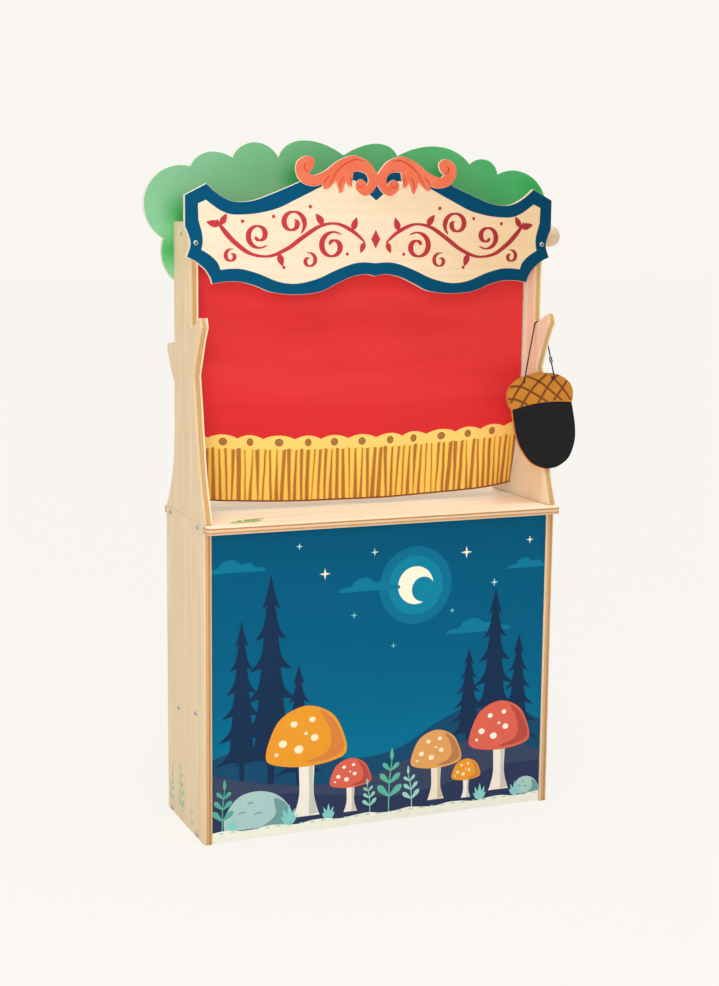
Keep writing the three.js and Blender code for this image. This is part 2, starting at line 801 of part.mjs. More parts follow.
function makeAcornBoard({ hanger, boardBack, boardTop }) {
  const outline = mirroredOutline(acornShares, acornHalfWidth, acornHeight, -acornHeight / 2)
  const board = facingBoard(outline, acornThickness, 0, edgeSteps)
  const holeZ = acornHeight / 2 - acornHoleInset
  const holes = [-1, 1].map((side) => (
    drillY(acornHoleRadius, -acornThickness - overrun, overrun, side * acornHoleSpacing / 2, holeZ)
  ))
  const acorn = piece('acorn_board', cut(board, holes), 'blackboard', hanger)
  acorn.position.set(sideCentre - acornSideways, boardBack, boardTop - acornHeight / 2)
  acorn.rotation.y = -acornRoll
}

// One strand bends over the post's edge from the stretch above the notch, runs down beside the
// branch and in front of the board's top edge, bends back through the hole, and ends in a knot
// behind the board. The cord keeps clear of the ply's corner on the inside of its first bend.
function strandPath(side, { boardBack, boardTop }) {
  const hole = acornHole(side, boardTop)
  const overX = sideCentre + side * (ply / 2 - cordCorner)
  const boardFront = boardBack - acornThickness
  const over = [0, 25, 50, 75].map((degrees) => {
    const angle = THREE.MathUtils.degToRad(degrees)
    return new THREE.Vector3(overX + side * cordBend * Math.sin(angle), 0, cordBend * (Math.cos(angle) - 1))
  })
  const back = [0, 30, 60, 90].map((degrees) => {
    const angle = THREE.MathUtils.degToRad(degrees)
    return new THREE.Vector3(
      hole.x, boardFront - cordBend * Math.cos(angle), hole.z + cordBend * (1 - Math.sin(angle)),
    )
  })
  const between = [0.05, 0.16, 0.42, 0.7, 0.88, 0.96].map((share) => over[3].clone().lerp(back[0], share))
  const end = new THREE.Vector3(hole.x, boardBack + knotRadius, hole.z)
  return new THREE.CatmullRomCurve3([...over, ...between, ...back, end])
}

function makeStrand(name, side, place) {
  const section = new THREE.Shape()
  section.moveTo(cordRadius, 0)
  for (let corner = 1; corner < cordSides; corner += 1) {
    const angle = 2 * Math.PI * corner / cordSides
    section.lineTo(cordRadius * Math.cos(angle), cordRadius * Math.sin(angle))
  }
  const extrudePath = strandPath(side, place)
  const strand = new THREE.ExtrudeGeometry(section, { steps: cordSteps, extrudePath })
  const knot = new THREE.SphereGeometry(knotRadius, cordSides, cordSides / 2 + 1)
  const end = extrudePath.getPoint(1)
  knot.translate(end.x, end.y + seat, end.z)
  piece(name, join(strand, knot), 'blackCord', place.hanger)
}

// A small sleeve clamped on the right strand where the cord's ends meet
function makeBead(place) {
  const path = strandPath(1, place)
  const samples = path.getSpacedPoints(cordSteps)
  const at = samples.findIndex((sample) => sample.z <= -beadDrop) / cordSteps
  const bore = cordRadius + seat
  const sleeve = turnedAlongX([
    [bore, -beadLength / 2],
    [beadRadius, -beadLength / 2],
    [beadRadius, beadLength / 2],
    [bore, beadLength / 2],
    [bore, -beadLength / 2],
  ], screwSides)
  const bead = piece('cord_sleeve', sleeve, 'greySleeve', place.hanger)
  bead.position.copy(path.getPointAt(at))
  bead.quaternion.setFromUnitVectors(new THREE.Vector3(1, 0, 0), path.getTangentAt(at))
}

function makeCord(place) {
  const halfLength = ply / 2 - cordCorner - seat
  const saddle = turnedAlongX([
    [0, -halfLength],
    [cordRadius, -halfLength],
    [cordRadius, halfLength],
    [0, halfLength],
  ], cordSides)
  piece('cord_saddle', saddle, 'blackCord', place.hanger).position.x = sideCentre
  makeStrand('cord_strand_left', -1, place)
  makeStrand('cord_strand_right', 1, place)
  makeBead(place)
}

makeSidePanel('side_panel_left', -1)
makeSidePanel('side_panel_right', 1)
makeFrontPanel()
makeBottomBoard()
makeShelf()
makeCounter()
makeSideScrews()
makePost('post_left', -1, pinRadius)
makePost('post_right', 1, spindleRadius)
makeDowels()
makeSign()
makeCrest()
makeFoliage()
makeBoardScrews()
makeRoller()
makeRollerPin()
makeKnob()
makeWoundCloth()
makeCurtain()
const acornPlace = hangAcorn()
makeAcornBoard(acornPlace)
makeCord(acornPlace)

export default theatre
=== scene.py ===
"""Looks of a puppet theatre stand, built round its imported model.

A birch plywood cabinet with a printed front carries two posts cut like branching trunks, a
painted name board with a scrolled crest, a leafy backboard, a roller curtain of printed cloth
and a small chalkboard on a cord. Metres, +Z up, the audience towards -Y. Outlines and places
on a surface are in millimetres.
"""

import json
import math

import bmesh
import bpy
from mathutils import Matrix, Vector, noise


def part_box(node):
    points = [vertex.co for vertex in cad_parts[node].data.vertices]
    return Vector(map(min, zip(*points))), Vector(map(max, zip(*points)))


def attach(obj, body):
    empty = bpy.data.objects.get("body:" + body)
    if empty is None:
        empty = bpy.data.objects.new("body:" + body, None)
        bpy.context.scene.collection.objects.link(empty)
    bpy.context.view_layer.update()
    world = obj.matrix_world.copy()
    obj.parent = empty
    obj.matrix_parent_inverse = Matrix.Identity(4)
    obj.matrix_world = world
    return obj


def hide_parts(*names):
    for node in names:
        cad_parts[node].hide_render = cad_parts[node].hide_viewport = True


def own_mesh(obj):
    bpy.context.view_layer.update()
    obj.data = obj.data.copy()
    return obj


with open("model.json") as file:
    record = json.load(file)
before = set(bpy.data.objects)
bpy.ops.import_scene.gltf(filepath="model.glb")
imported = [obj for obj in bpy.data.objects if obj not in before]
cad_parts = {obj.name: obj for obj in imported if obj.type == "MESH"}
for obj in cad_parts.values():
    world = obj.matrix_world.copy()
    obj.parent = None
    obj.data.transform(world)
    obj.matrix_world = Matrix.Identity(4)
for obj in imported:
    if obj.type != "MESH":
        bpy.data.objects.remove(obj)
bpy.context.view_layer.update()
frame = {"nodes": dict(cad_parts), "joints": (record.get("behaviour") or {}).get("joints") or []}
nodes = frame["nodes"]
joints = {joint["name"]: joint for joint in frame["joints"]}

MM = 0.001

# Camera, fitted to the cabinet's corners in the photograph
PHOTO_WIDTH = 719
PHOTO_HEIGHT = 986
CAMERA_PLACE = (-1.2487, -2.9769, 1.1242)
CAMERA_YAW = math.radians(22.676)
CAMERA_PITCH = math.radians(9.010)
CAMERA_ROLL = math.radians(0.593)
CAMERA_FOCAL_PIXELS = 1724.95
SENSOR_LONG_SIDE = 36

# Sizes that the frame doesn't give, in millimetres
PLY = 15
SHELF_SLOPE = math.radians(9.5)
ARRIS = 0.5
FILM = 0.03
FILM_STEP = 0.05


def make_camera():
    data = bpy.data.cameras.new("camera")
    data.sensor_width = SENSOR_LONG_SIDE
    data.lens = CAMERA_FOCAL_PIXELS / max(PHOTO_WIDTH, PHOTO_HEIGHT) * SENSOR_LONG_SIDE
    forward = Vector((
        math.sin(CAMERA_YAW) * math.cos(CAMERA_PITCH),
        math.cos(CAMERA_YAW) * math.cos(CAMERA_PITCH),
        -math.sin(CAMERA_PITCH),
    ))
    level = forward.cross(Vector((0, 0, 1))).normalized()
    above = level.cross(forward)
    right = math.cos(CAMERA_ROLL) * level + math.sin(CAMERA_ROLL) * above
    up = -math.sin(CAMERA_ROLL) * level + math.cos(CAMERA_ROLL) * above
    turn = Matrix((right, up, -forward)).transposed()
    camera = bpy.data.objects.new("camera", data)
    camera.matrix_world = Matrix.Translation(CAMERA_PLACE) @ turn.to_4x4()
    bpy.context.scene.collection.objects.link(camera)
    bpy.context.scene.camera = camera


# Node helpers

def linear(hex_colour):
    """A hex sRGB colour as the linear RGBA that a shader reads."""
    channels = [int(hex_colour[i:i + 2], 16) / 255 for i in (1, 3, 5)]
    return (*[c / 12.92 if c <= 0.04045 else ((c + 0.055) / 1.055) ** 2.4 for c in channels], 1)


def add(tree, kind, inputs=(), stops=(), **settings):
    """Adds a node. Inputs go by name, or in order to the sockets in use. Each is a value, a hex
    colour, a socket, or a node whose first output is meant. Stops are a ramp's colours."""
    node = tree.nodes.new("ShaderNode" + kind)
    for name, value in settings.items():
        setattr(node, name, value)
    if not isinstance(inputs, dict):
        inputs = dict(zip([i for i, s in enumerate(node.inputs) if s.enabled], inputs))
    for key, value in inputs.items():
        if isinstance(value, bpy.types.Node):
            value = next(s for s in value.outputs if s.enabled)
        if isinstance(value, bpy.types.NodeSocket):
            tree.links.new(value, node.inputs[key])
        else:
            node.inputs[key].default_value = linear(value) if isinstance(value, str) else value
    for index, (place, hex_colour) in enumerate(stops):
        elements = node.color_ramp.elements
        element = elements[index] if index < len(elements) else elements.new(1)
        element.position = place
        element.color = linear(hex_colour)
    return node


def new_material(name):
    material = bpy.data.materials.new(name)
    material.use_nodes = True
    material.node_tree.nodes.clear()
    return material, material.node_tree


def close(tree, colour, roughness, height, relief, **constants):
    """Ends a material in one Principled shader, with a bump: its height's full step from 0 to 1
    is the relief in millimetres."""
    bump = add(tree, "Bump", {"Height": height, "Distance": relief * MM})
    inputs = {"Base Color": colour, "Roughness": roughness, "Normal": bump}
    for name, value in constants.items():
        inputs[name.replace("_", " ")] = value
    add(tree, "OutputMaterial", {"Surface": add(tree, "BsdfPrincipled", inputs)})


def own_point(tree, centre=(0, 0, 0), turn=(0, 0, 0)):
    """A point in a piece's own directions, in millimetres from its middle."""
    place = add(tree, "TexCoord").outputs["Object"]
    return add(tree, "Mapping", [place, centre, turn, (MM, MM, MM)], vector_type="TEXTURE")


def speckle(tree, point, size, detail=2, distortion=0):
    """Noise whose grains have this size in millimetres, all round or along each axis."""
    across = size if isinstance(size, tuple) else (size,) * 3
    scaled = add(tree, "Mapping", {"Vector": point, "Scale": [1 / s for s in across]})
    return add(tree, "TexNoise", {"Vector": scaled, "Scale": 1, "Detail": detail,
                                  "Distortion": distortion})


# How a board lies. Its own X is the face grain, its own Z goes through its thickness.
UPRIGHT_SIDEWAYS = (0, -math.pi / 2, 0)
FACING = (-math.pi / 2, 0, 0)
LYING = (0, 0, 0)

# Sizes of the grain along the wood, across it and through it
STREAK = (140, 2.2, 2.2)
FIGURE = (420, 30, 30)
FLECK = (12, 0.8, 0.8)
EDGE_WANDER = (40, 40, 6)
EDGE_PORE = (9, 9, 0.9)
# How much the lacquer's roughness changes with the grain, and how deep the grain is
LACQUER_SWING = 0.07
GRAIN_DEPTH = 0.08

# Birch: a sliced face from a dark streak to a pale one, and the plies of a cut edge
FACE_BIRCH = ("#E6C89C", "#EDD3AA", "#F1DBB9")
# Painted light: the next birch is a lighter copy of the face birch, for the right post and the
# counter, whose faces catch more light
LIT_BIRCH = ("#F2DBB9", "#F8E6C9", "#FCEFDA")
SIGN_BIRCH = ("#EFD6B6", "#F3DCBF", "#F6E3CB")
BROWN_PLIES = [
    (0, "#E3C59B"), (0.13, "#DDBB8E"), (0.17, "#B98552"), (0.34, "#C08D5A"), (0.38, "#A9753F"),
    (0.42, "#D3A06F"), (0.62, "#D9A878"), (0.66, "#AD7A48"), (0.7, "#D8B488"), (0.86, "#E6C89D"),
    (1, "#E9CDA6"),
]
POST_PLIES = [
    (0, "#F6E6C8"), (0.2, "#EED8B0"), (0.27, "#C09258"), (0.34, "#CBA067"), (0.58, "#CDA36C"),
    (0.64, "#AE7F4C"), (0.7, "#D6B07C"), (0.86, "#DDBB8A"), (1, "#E6CBA0"),
]
COUNTER_PLIES = [
    (0, "#E9CDA8"), (0.15, "#E4C49B"), (0.2, "#C08E62"), (0.36, "#C99A6E"), (0.42, "#E6BE94"),
    (0.62, "#EAC59C"), (0.67, "#AE7B49"), (0.8, "#B9895A"), (0.85, "#EACFA8"), (1, "#F3E0C0"),
]
# Painted highlight: near-white plies for the cut edges of the name board, crest and foliage, where
# light catches them
HIGHLIT_PLIES = [
    (0, "#FCF6EA"), (0.3, "#FAF1E0"), (0.33, "#E6D2B2"), (0.36, "#F4E7D0"), (0.64, "#F2E4CC"),
    (0.67, "#E6D2B2"), (0.7, "#FAF1E0"), (1, "#FCF6EA"),
]


def veneer(tree, point, hexes):
    """Sliced birch: fine streaks over a broad figure, with short darker flecks. Gives its
    colour and its relief."""
    dark, middle, pale = hexes
    streaks = speckle(tree, point, STREAK, detail=4)
    figure = speckle(tree, point, FIGURE, distortion=1.4)
    both = add(tree, "Math", [streaks, figure], operation="ADD")
    half = add(tree, "Math", [both, 0.5], operation="MULTIPLY")
    sliced = add(tree, "ValToRGB", [half], [(0.36, dark), (0.5, middle), (0.64, pale)])
    fleck = speckle(tree, point, FLECK, detail=1)
    flecks = add(tree, "MapRange", [fleck, 0.62, 0.75, 0, 0.35])
    return add(tree, "Mix", [flecks, sliced, dark], data_type="RGBA"), streaks


def cut_edge(tree, point, depth, thickness, plies):
    """The plies of a sawn edge, slightly wavy, with the pores of the end grain."""
    wander = add(tree, "MapRange", [speckle(tree, point, EDGE_WANDER), 0, 1, 0.48, 0.52])
    share = add(tree, "Math", [depth, 1 / thickness], operation="MULTIPLY")
    placed = add(tree, "Math", [share, wander], operation="ADD")
    ramp = add(tree, "ValToRGB", [placed], plies)
    pore = speckle(tree, point, EDGE_PORE, detail=3)
    pores = add(tree, "MapRange", [pore, 0, 1, 0.82, 1.14])
    return add(tree, "VectorMath", [ramp, pores], operation="MULTIPLY")


def face_mask(tree, depth, thickness, side):
    """One on the face at that side of the board, and zero below its eased arris."""
    toward = add(tree, "Math", [depth, side], operation="MULTIPLY")
    return add(tree, "Math", [toward, thickness / 2 - ARRIS / 3], operation="GREATER_THAN")


def plywood(name, centre, turn, thickness=PLY, face=FACE_BIRCH, plies=BROWN_PLIES, paint=None,
            roughness=0.5, gloss=0.35, tint=None):
    """Birch plywood under a satin clear lacquer: the veneer shows on its faces and the plies
    on its cut edges. Paint, where given, colours the face towards the audience."""
    material, tree = new_material(name)
    point = own_point(tree, centre, turn)
    depth = add(tree, "SeparateXYZ", [point]).outputs["Z"]
    grain, streaks = veneer(tree, point, face)
    edge = cut_edge(tree, point, depth, thickness, plies)
    distance = add(tree, "Math", [depth], operation="ABSOLUTE")
    flat = face_mask(tree, distance, thickness, 1)
    colour = add(tree, "Mix", [flat, edge, grain], data_type="RGBA")
    if paint:
        front = face_mask(tree, depth, thickness, -1)
        colour = add(tree, "Mix", [front, colour, paint(tree, point)], data_type="RGBA")
    # Painted shade: darker towards the right end, where the light falls off
    if tint:
        colour = painted_shade_to_right(tree, point, colour, *tint)
    low, high = roughness - LACQUER_SWING, roughness + LACQUER_SWING
    sheen = add(tree, "MapRange", [streaks, 0, 1, low, high])
    close(tree, colour, sheen, streaks, GRAIN_DEPTH, Specular_IOR_Level=gloss)
    return material


def facing_board(name, node, **looks):
    """Plywood for a board that faces the audience, as thick as its node."""
    low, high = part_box(node)
    return plywood(name, (low + high) / 2, FACING, (high - low).y / MM, **looks)


def painted_shade_to_right(tree, point, colour, tint, reach):
    """Painted shade, for light that falls off: a colour that darkens towards the piece's right
    end, where it is multiplied by the shade colour.
    """
    across = add(tree, "SeparateXYZ", [point]).outputs["X"]
    share = add(tree, "MapRange", [across, -0.4 * reach, reach],
                interpolation_type="SMOOTHSTEP")
    shade_of = add(tree, "Mix", [share, "#FFFFFF", tint], data_type="RGBA")
    return add(tree, "VectorMath", [colour, shade_of], operation="MULTIPLY")


def drifting(tree, point, axis, start, end, cloud, swing, stops):
    """Colours that follow one another from start to end along an axis, and drift by a swing
    over clouds of that size."""
    along = add(tree, "SeparateXYZ", [point]).outputs[axis]
    sweep = add(tree, "MapRange", [along, start, end])
    drift = add(tree, "MapRange", [speckle(tree, point, cloud), 0, 1, -swing, swing])
    return add(tree, "ValToRGB", [add(tree, "Math", [sweep, drift], operation="ADD")], stops)


CORAL = [(0.36, "#E16A49"), (0.5, "#E5704F"), (0.64, "#E77656")]
CORAL_PATCH = 60


def coral_paint(tree, point):
    """A brushed coat of coral that mottles over soft patches."""
    return add(tree, "ValToRGB", [speckle(tree, point, CORAL_PATCH, 3, 0.6)], CORAL)


LEAF_GREENS = [(0.1, "#86C797"), (0.45, "#6CBE80"), (0.9, "#4FB66D")]
LEAF_CLOUD = 110
LEAF_DEEP = "#30A64C"
LEAF_HALF_WIDTH = 405
# Where the leaf green deepens: from the board's middle, across and down, and how far
LEAF_DEEPENINGS = [(-334, 10, 58), (-356, 74, 50), (-118, -58, 46), (176, -66, 38), (378, -48, 52)]


def leaf_paint(tree, point):
    """Leaf green, pale and hazy on the left and full colour on the right, and deeper in a few
    soft spots."""
    colour = drifting(tree, point, "X", -LEAF_HALF_WIDTH, LEAF_HALF_WIDTH, LEAF_CLOUD, 0.25,
                      LEAF_GREENS)
    for across, down, reach in LEAF_DEEPENINGS:
        near = add(tree, "VectorMath", [point, (across, down, 0)], operation="DISTANCE")
        spot = add(tree, "MapRange", [near, 0, reach, 0.9, 0], interpolation_type="SMOOTHSTEP")
        colour = add(tree, "Mix", [spot, colour, LEAF_DEEP], data_type="RGBA")
    return colour


PANEL_TOP = 575
SKY = [(0, "#007498"), (0.3, "#006C8F"), (0.42, "#006387"), (0.62, "#005C80"), (1, "#00567A")]
SKY_CLOUD = (160, 60, 60)


def night_sky(tree, point):
    """The printed sky: pale at the hills and deep blue above."""
    return drifting(tree, point, "Y", PANEL_TOP / 2, -PANEL_TOP / 2, SKY_CLOUD, 0.06, SKY)


# Ink: the sizes of its mottles and of its grains, and how far the mottles change its colour
INK_MOTTLE = 14
INK_GRAIN = 1.2
INK_SHADES = (0.93, 1.07)


def printed_ink(name, roughness, relief, tint=None):
    """Screen-printed ink: each shape has the colour of its faces' ink, with a fine mottle."""
    material, tree = new_material(name)
    point = own_point(tree)
    ink = add(tree, "Attribute", attribute_name="ink")
    mottle = speckle(tree, point, INK_MOTTLE, detail=4)
    mottle = add(tree, "MapRange", [mottle, 0, 1, *INK_SHADES])
    colour = add(tree, "VectorMath", [ink, mottle], operation="MULTIPLY")
    # Painted shade: darker towards the right end, where the light falls off
    if tint:
        colour = painted_shade_to_right(tree, point, colour, *tint)
    close(tree, colour, roughness, speckle(tree, point, INK_GRAIN), relief,
          Specular_IOR_Level=0.06)
    return material


BEECH = [(0.34, "#CFAE8C"), (0.52, "#E0C3A3"), (0.68, "#EBD3B8")]
# Its streaks along the axis, and the rings that the cutter leaves
BEECH_STREAK = (60, 1.6, 1.6)
CUTTER_RING = (0.9, 40, 40)
CUTTER_DEPTH = 0.05


def turned_beech(name, centre=(0, 0, 0)):
    """Turned beech, waxed: fine streaks along the axis, and the cutter's faint rings."""
    material, tree = new_material(name)
    point = own_point(tree, centre)
    colour = add(tree, "ValToRGB", [speckle(tree, point, BEECH_STREAK, detail=4)], BEECH)
    close(tree, colour, 0.42, speckle(tree, point, CUTTER_RING), CUTTER_DEPTH)
    return material


def flecked(name, size, detail, stops, roughness, relief, **constants):
    """One fine grain in a material's colour, its relief and, from a pair, its roughness."""
    material, tree = new_material(name)
    grain = speckle(tree, own_point(tree), size, detail)
    if isinstance(roughness, tuple):
        roughness = add(tree, "MapRange", [grain, 0, 1, *roughness])
    close(tree, add(tree, "ValToRGB", [grain], stops), roughness, grain, relief, **constants)
    return material


# Curtain's reds, with painted shade, and its printed fringe, with heights in millimetres above the
# hem
# Red dye in long level patches, which are also faint painted light and shade of the creases' bands
RED = [(0.34, "#DE3336"), (0.5, "#E13739"), (0.66, "#E33B3C")]
# Painted shade: the deeper red below the lowest crease, where the cloth turns away from the light
SHADED_LOWER_RED = "#DA2C31"
RED_PATCH = (420, 60, 1)
# The cloth's lowest crease, from where its painted shade is full to where it is as the rest
CREASE_FOOT = 177
CREASE_TOP = 191
GOLD_BAND = "#FBD776"
GOLD = [(0, "#EBB048"), (0.5, "#F9CA56"), (1, "#FCD566")]
FRINGE_BROWN = "#B5763C"
HEM_BROWN = "#9C5427"
BUTTON_BROWN = [(0, "#A96E3C"), (0.6, "#B47844"), (0.85, "#A06536")]
SCALLOP_PITCH = 55
SCALLOP_RISE = 7
SCALLOP_DRIFT = (20, 38)
DRIFT_SPREAD = (80, 4000, 1)
BAND_TOP = 118
BAND_FOOT = 98
BAND_LUMP = 3
BAND_LUMP_PITCH = 24
BUTTON_HEIGHT = 112
BUTTON_RADIUS = 7.2
HEM_LINE = 3.2
STRAND_PITCH = 12.2
STRAND_LEAN = 2.4
STRAND_SHADE = 3.6
STRAND_WOBBLE = (90, 80, 1)
SLIT_HALF = (0.3, 4.2)
WEAVE_PITCH = 1.6
WEAVE_DEPTH = 0.06


def scalloped_band(tree, point, across, above):
    """Scallops, unevenly spaced, over a foot of shallow lumps. Gives where the print starts,
    where the band ends, and the share of a scallop from its middle."""
    spread = speckle(tree, point, DRIFT_SPREAD, detail=0)
    drift = add(tree, "MapRange", [spread, 0, 1, *SCALLOP_DRIFT])
    drifted = add(tree, "Math", [across, drift], operation="ADD")
    turns = add(tree, "Math", [drifted, 1 / SCALLOP_PITCH], operation="MULTIPLY")
    phase = add(tree, "Math", [turns], operation="FRACT")
    centred = add(tree, "Math", [phase, 0.5], operation="SUBTRACT")
    squared = add(tree, "Math", [centred, centred], operation="MULTIPLY")
    scallop = add(tree, "MapRange", [squared, 0, 0.25, BAND_TOP + SCALLOP_RISE, BAND_TOP])
    in_print = add(tree, "Math", [above, scallop], operation="LESS_THAN")
    angle = add(tree, "Math", [drifted, math.pi / BAND_LUMP_PITCH], operation="MULTIPLY")
    lump = add(tree, "Math", [add(tree, "Math", [angle], operation="SINE")],
               operation="ABSOLUTE")
    foot = add(tree, "MapRange", [lump, 0, 1, BAND_FOOT + BAND_LUMP, BAND_FOOT])
    return in_print, add(tree, "Math", [above, foot], operation="LESS_THAN"), centred


def hanging_strands(tree, point, across, above):
    """Straight strands side by side over brown. Each slit between two of them has a slant of
    its own, and a width of its own at its head and at its foot."""
    wave = speckle(tree, point, STRAND_WOBBLE, detail=0)
    wobble = add(tree, "MapRange", [wave, 0, 1, -1, 1])
    drawn = add(tree, "Math", [across, wobble], operation="ADD")
    counted = add(tree, "Math", [drawn, 1 / STRAND_PITCH], operation="MULTIPLY")
    number = add(tree, "Math", [counted], operation="ROUND")
    seat = add(tree, "Math", [number, STRAND_PITCH], operation="MULTIPLY")
    beside = add(tree, "Math", [drawn, seat], operation="SUBTRACT")
    chance = add(tree, "TexWhiteNoise", {"W": number}, noise_dimensions="1D").outputs["Color"]
    chances = add(tree, "SeparateXYZ", [chance]).outputs
    lean = add(tree, "MapRange", [chances["X"], 0, 1, -STRAND_LEAN, STRAND_LEAN])
    at_head = add(tree, "MapRange", [chances["Y"], 0, 1, *SLIT_HALF])
    at_foot = add(tree, "MapRange", [chances["Z"], 0, 1, *SLIT_HALF])
    rise = add(tree, "MapRange", [above, 0, BAND_FOOT, -1, 1])
    leant = add(tree, "Math", [lean, rise], operation="MULTIPLY")
    off_slit = add(tree, "Math", [beside, leant], operation="SUBTRACT")
    to_slit = add(tree, "Math", [off_slit], operation="ABSOLUTE")
    slit = add(tree, "MapRange", [rise, -1, 1, at_foot, at_head])
    gap = add(tree, "Math", [to_slit, slit], operation="LESS_THAN")
    into_strand = add(tree, "Math", [to_slit, slit], operation="SUBTRACT")
    strand = add(tree, "MapRange", [into_strand, 0, STRAND_SHADE])
    shaded = add(tree, "ValToRGB", [strand], GOLD)
    return add(tree, "Mix", [gap, shaded, FRINGE_BROWN], data_type="RGBA")


def plain_buttons(tree, centred, above):
    """A round button under each scallop. Gives where it is and its colour."""
    button_across = add(tree, "Math", [centred, SCALLOP_PITCH], operation="MULTIPLY")
    button_above = add(tree, "Math", [above, BUTTON_HEIGHT], operation="SUBTRACT")
    spot = add(tree, "CombineXYZ", [button_across, button_above])
    reach = add(tree, "VectorMath", [spot], operation="LENGTH")
    share = add(tree, "Math", [reach, 1 / BUTTON_RADIUS], operation="MULTIPLY")
    on_button = add(tree, "Math", [reach, BUTTON_RADIUS], operation="LESS_THAN")
    return on_button, add(tree, "ValToRGB", [share], BUTTON_BROWN)


def curtain_cloth():
    """Plain-woven cotton, dyed red, with a printed gold fringe: a scalloped band with brown
    buttons, and strands that hang over brown. The weave is drawn at 1.6 mm, coarser than its
    real threads, which are too fine to show. Its UV map is the flat cloth in metres, from the
    middle of the hem."""
    material, tree = new_material("printed_cotton")
    flat = add(tree, "UVMap", uv_map="cloth")
    point = add(tree, "Mapping", {"Vector": flat, "Scale": [1 / MM] * 3})
    parts = add(tree, "SeparateXYZ", [point]).outputs
    across, above = parts["X"], parts["Y"]

    # Painted shade: the cloth below its lowest crease is a shade deeper, where it turns away from
    # the light
    # Level patches of red: the dye's tone, and faint painted light and shade of the creases' bands
    patchy_red = add(tree, "ValToRGB", [speckle(tree, point, RED_PATCH)], RED)
    below = add(tree, "MapRange", [above, CREASE_FOOT, CREASE_TOP, 0.6, 0])
    red = add(tree, "Mix", [below, patchy_red, SHADED_LOWER_RED], data_type="RGBA")

    in_print, below_band, centred = scalloped_band(tree, point, across, above)
    hung = hanging_strands(tree, point, across, above)
    on_button, button = plain_buttons(tree, centred, above)
    on_hem = add(tree, "Math", [above, HEM_LINE], operation="LESS_THAN")
    fringe = add(tree, "Mix", [below_band, GOLD_BAND, hung], data_type="RGBA")
    for where, laid in ((on_button, button), (on_hem, HEM_BROWN)):
        fringe = add(tree, "Mix", [where, fringe, laid], data_type="RGBA")
    colour = add(tree, "Mix", [in_print, red, fringe], data_type="RGBA")

    threads = []
    for way in (across, above):
        angle = add(tree, "Math", [way, 2 * math.pi / WEAVE_PITCH], operation="MULTIPLY")
        threads.append(add(tree, "Math", [angle], operation="SINE"))
    weave = add(tree, "Math", threads, operation="MULTIPLY")
    close(tree, colour, 0.88, weave, WEAVE_DEPTH, Specular_IOR_Level=0.1, Sheen_Weight=0.04,
          Sheen_Roughness=0.5)
    return material


BOARD_BLACK = [(0.35, "#141416"), (0.6, "#18181A"), (0.8, "#202022")]
BOARD_STAIN = [(0.35, "#C47A34"), (0.65, "#E19A50")]
CHALK_DUST = (38, 16, 16)
STAIN_GRAIN = (8, 8, 2)
BOARD_GRIT = 0.9


def chalkboard_paint(centre, turn):
    """Matt black board paint, dusted by old chalk, over a board whose cut edge is stained
    orange-brown."""
    material, tree = new_material("chalkboard_paint")
    point = own_point(tree, centre, turn)
    depth = add(tree, "SeparateXYZ", [point]).outputs["Z"]
    black = add(tree, "ValToRGB", [speckle(tree, point, CHALK_DUST, 4, 0.8)], BOARD_BLACK)
    edge = add(tree, "ValToRGB", [speckle(tree, point, STAIN_GRAIN, detail=3)], BOARD_STAIN)
    flat = face_mask(tree, depth, ACORN_THICKNESS, -1)
    colour = add(tree, "Mix", [flat, edge, black], data_type="RGBA")
    grit = speckle(tree, point, BOARD_GRIT)
    close(tree, colour, 0.8, grit, 0.03, Specular_IOR_Level=0.15)
    return material


# Mesh helpers

def settle(shape, name, body, slot, *finishes, replaces=()):
    """Makes a finished bmesh or curve a piece that rides on its body and stands for its nodes."""
    data = shape
    if isinstance(shape, bmesh.types.BMesh):
        data = bpy.data.meshes.new(name)
        shape.to_mesh(data)
        shape.free()
    for finish in finishes:
        data.materials.append(materials[finish])
    piece = bpy.data.objects.new(name, data)
    bpy.context.scene.collection.objects.link(piece)
    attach(piece, body)
    if replaces:
        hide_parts(*replaces)
    return piece


def node_copy(node):
    """A node's own solid with its facets merged into flat faces."""
    bm = bmesh.new()
    bm.from_mesh(nodes[node].data)
    bmesh.ops.remove_doubles(bm, verts=bm.verts, dist=0.01 * MM)
    bmesh.ops.dissolve_limit(bm, angle_limit=math.radians(0.5), verts=bm.verts, edges=bm.edges)
    return bm


SHARP = math.radians(35)
SMOOTH = math.radians(28)


def ease(bm, width):
    """Sands the arrises of a board: each sharp edge becomes a small round."""
    sharp = [e for e in bm.edges if len(e.link_faces) == 2 and e.calc_face_angle() > SHARP]
    bmesh.ops.bevel(bm, geom=sharp, offset=width * MM, offset_type="OFFSET", segments=2,
                    profile=0.5, affect="EDGES", clamp_overlap=False, material=-1)


def shade(bm, flat_normal=None):
    """Smooth shading over the curves. The two flat faces of a board stay crisp all round."""
    for face in bm.faces:
        face.smooth = True
    for edge in bm.edges:
        curved = len(edge.link_faces) == 2 and edge.calc_face_angle() < SMOOTH
        on_flat = flat_normal is not None and any(
            abs(face.normal.dot(flat_normal)) > 0.999 for face in edge.link_faces)
        edge.smooth = curved and not on_flat


def board(node, slot, finish, through, arris, body="stand"):
    """A board: its node's solid with sanded arrises. Through is the way of its thickness."""
    bm = node_copy(node)
    ease(bm, arris)
    shade(bm, Vector(through).normalized())
    return settle(bm, f"{node}_board", body, slot, finish, replaces=[node])


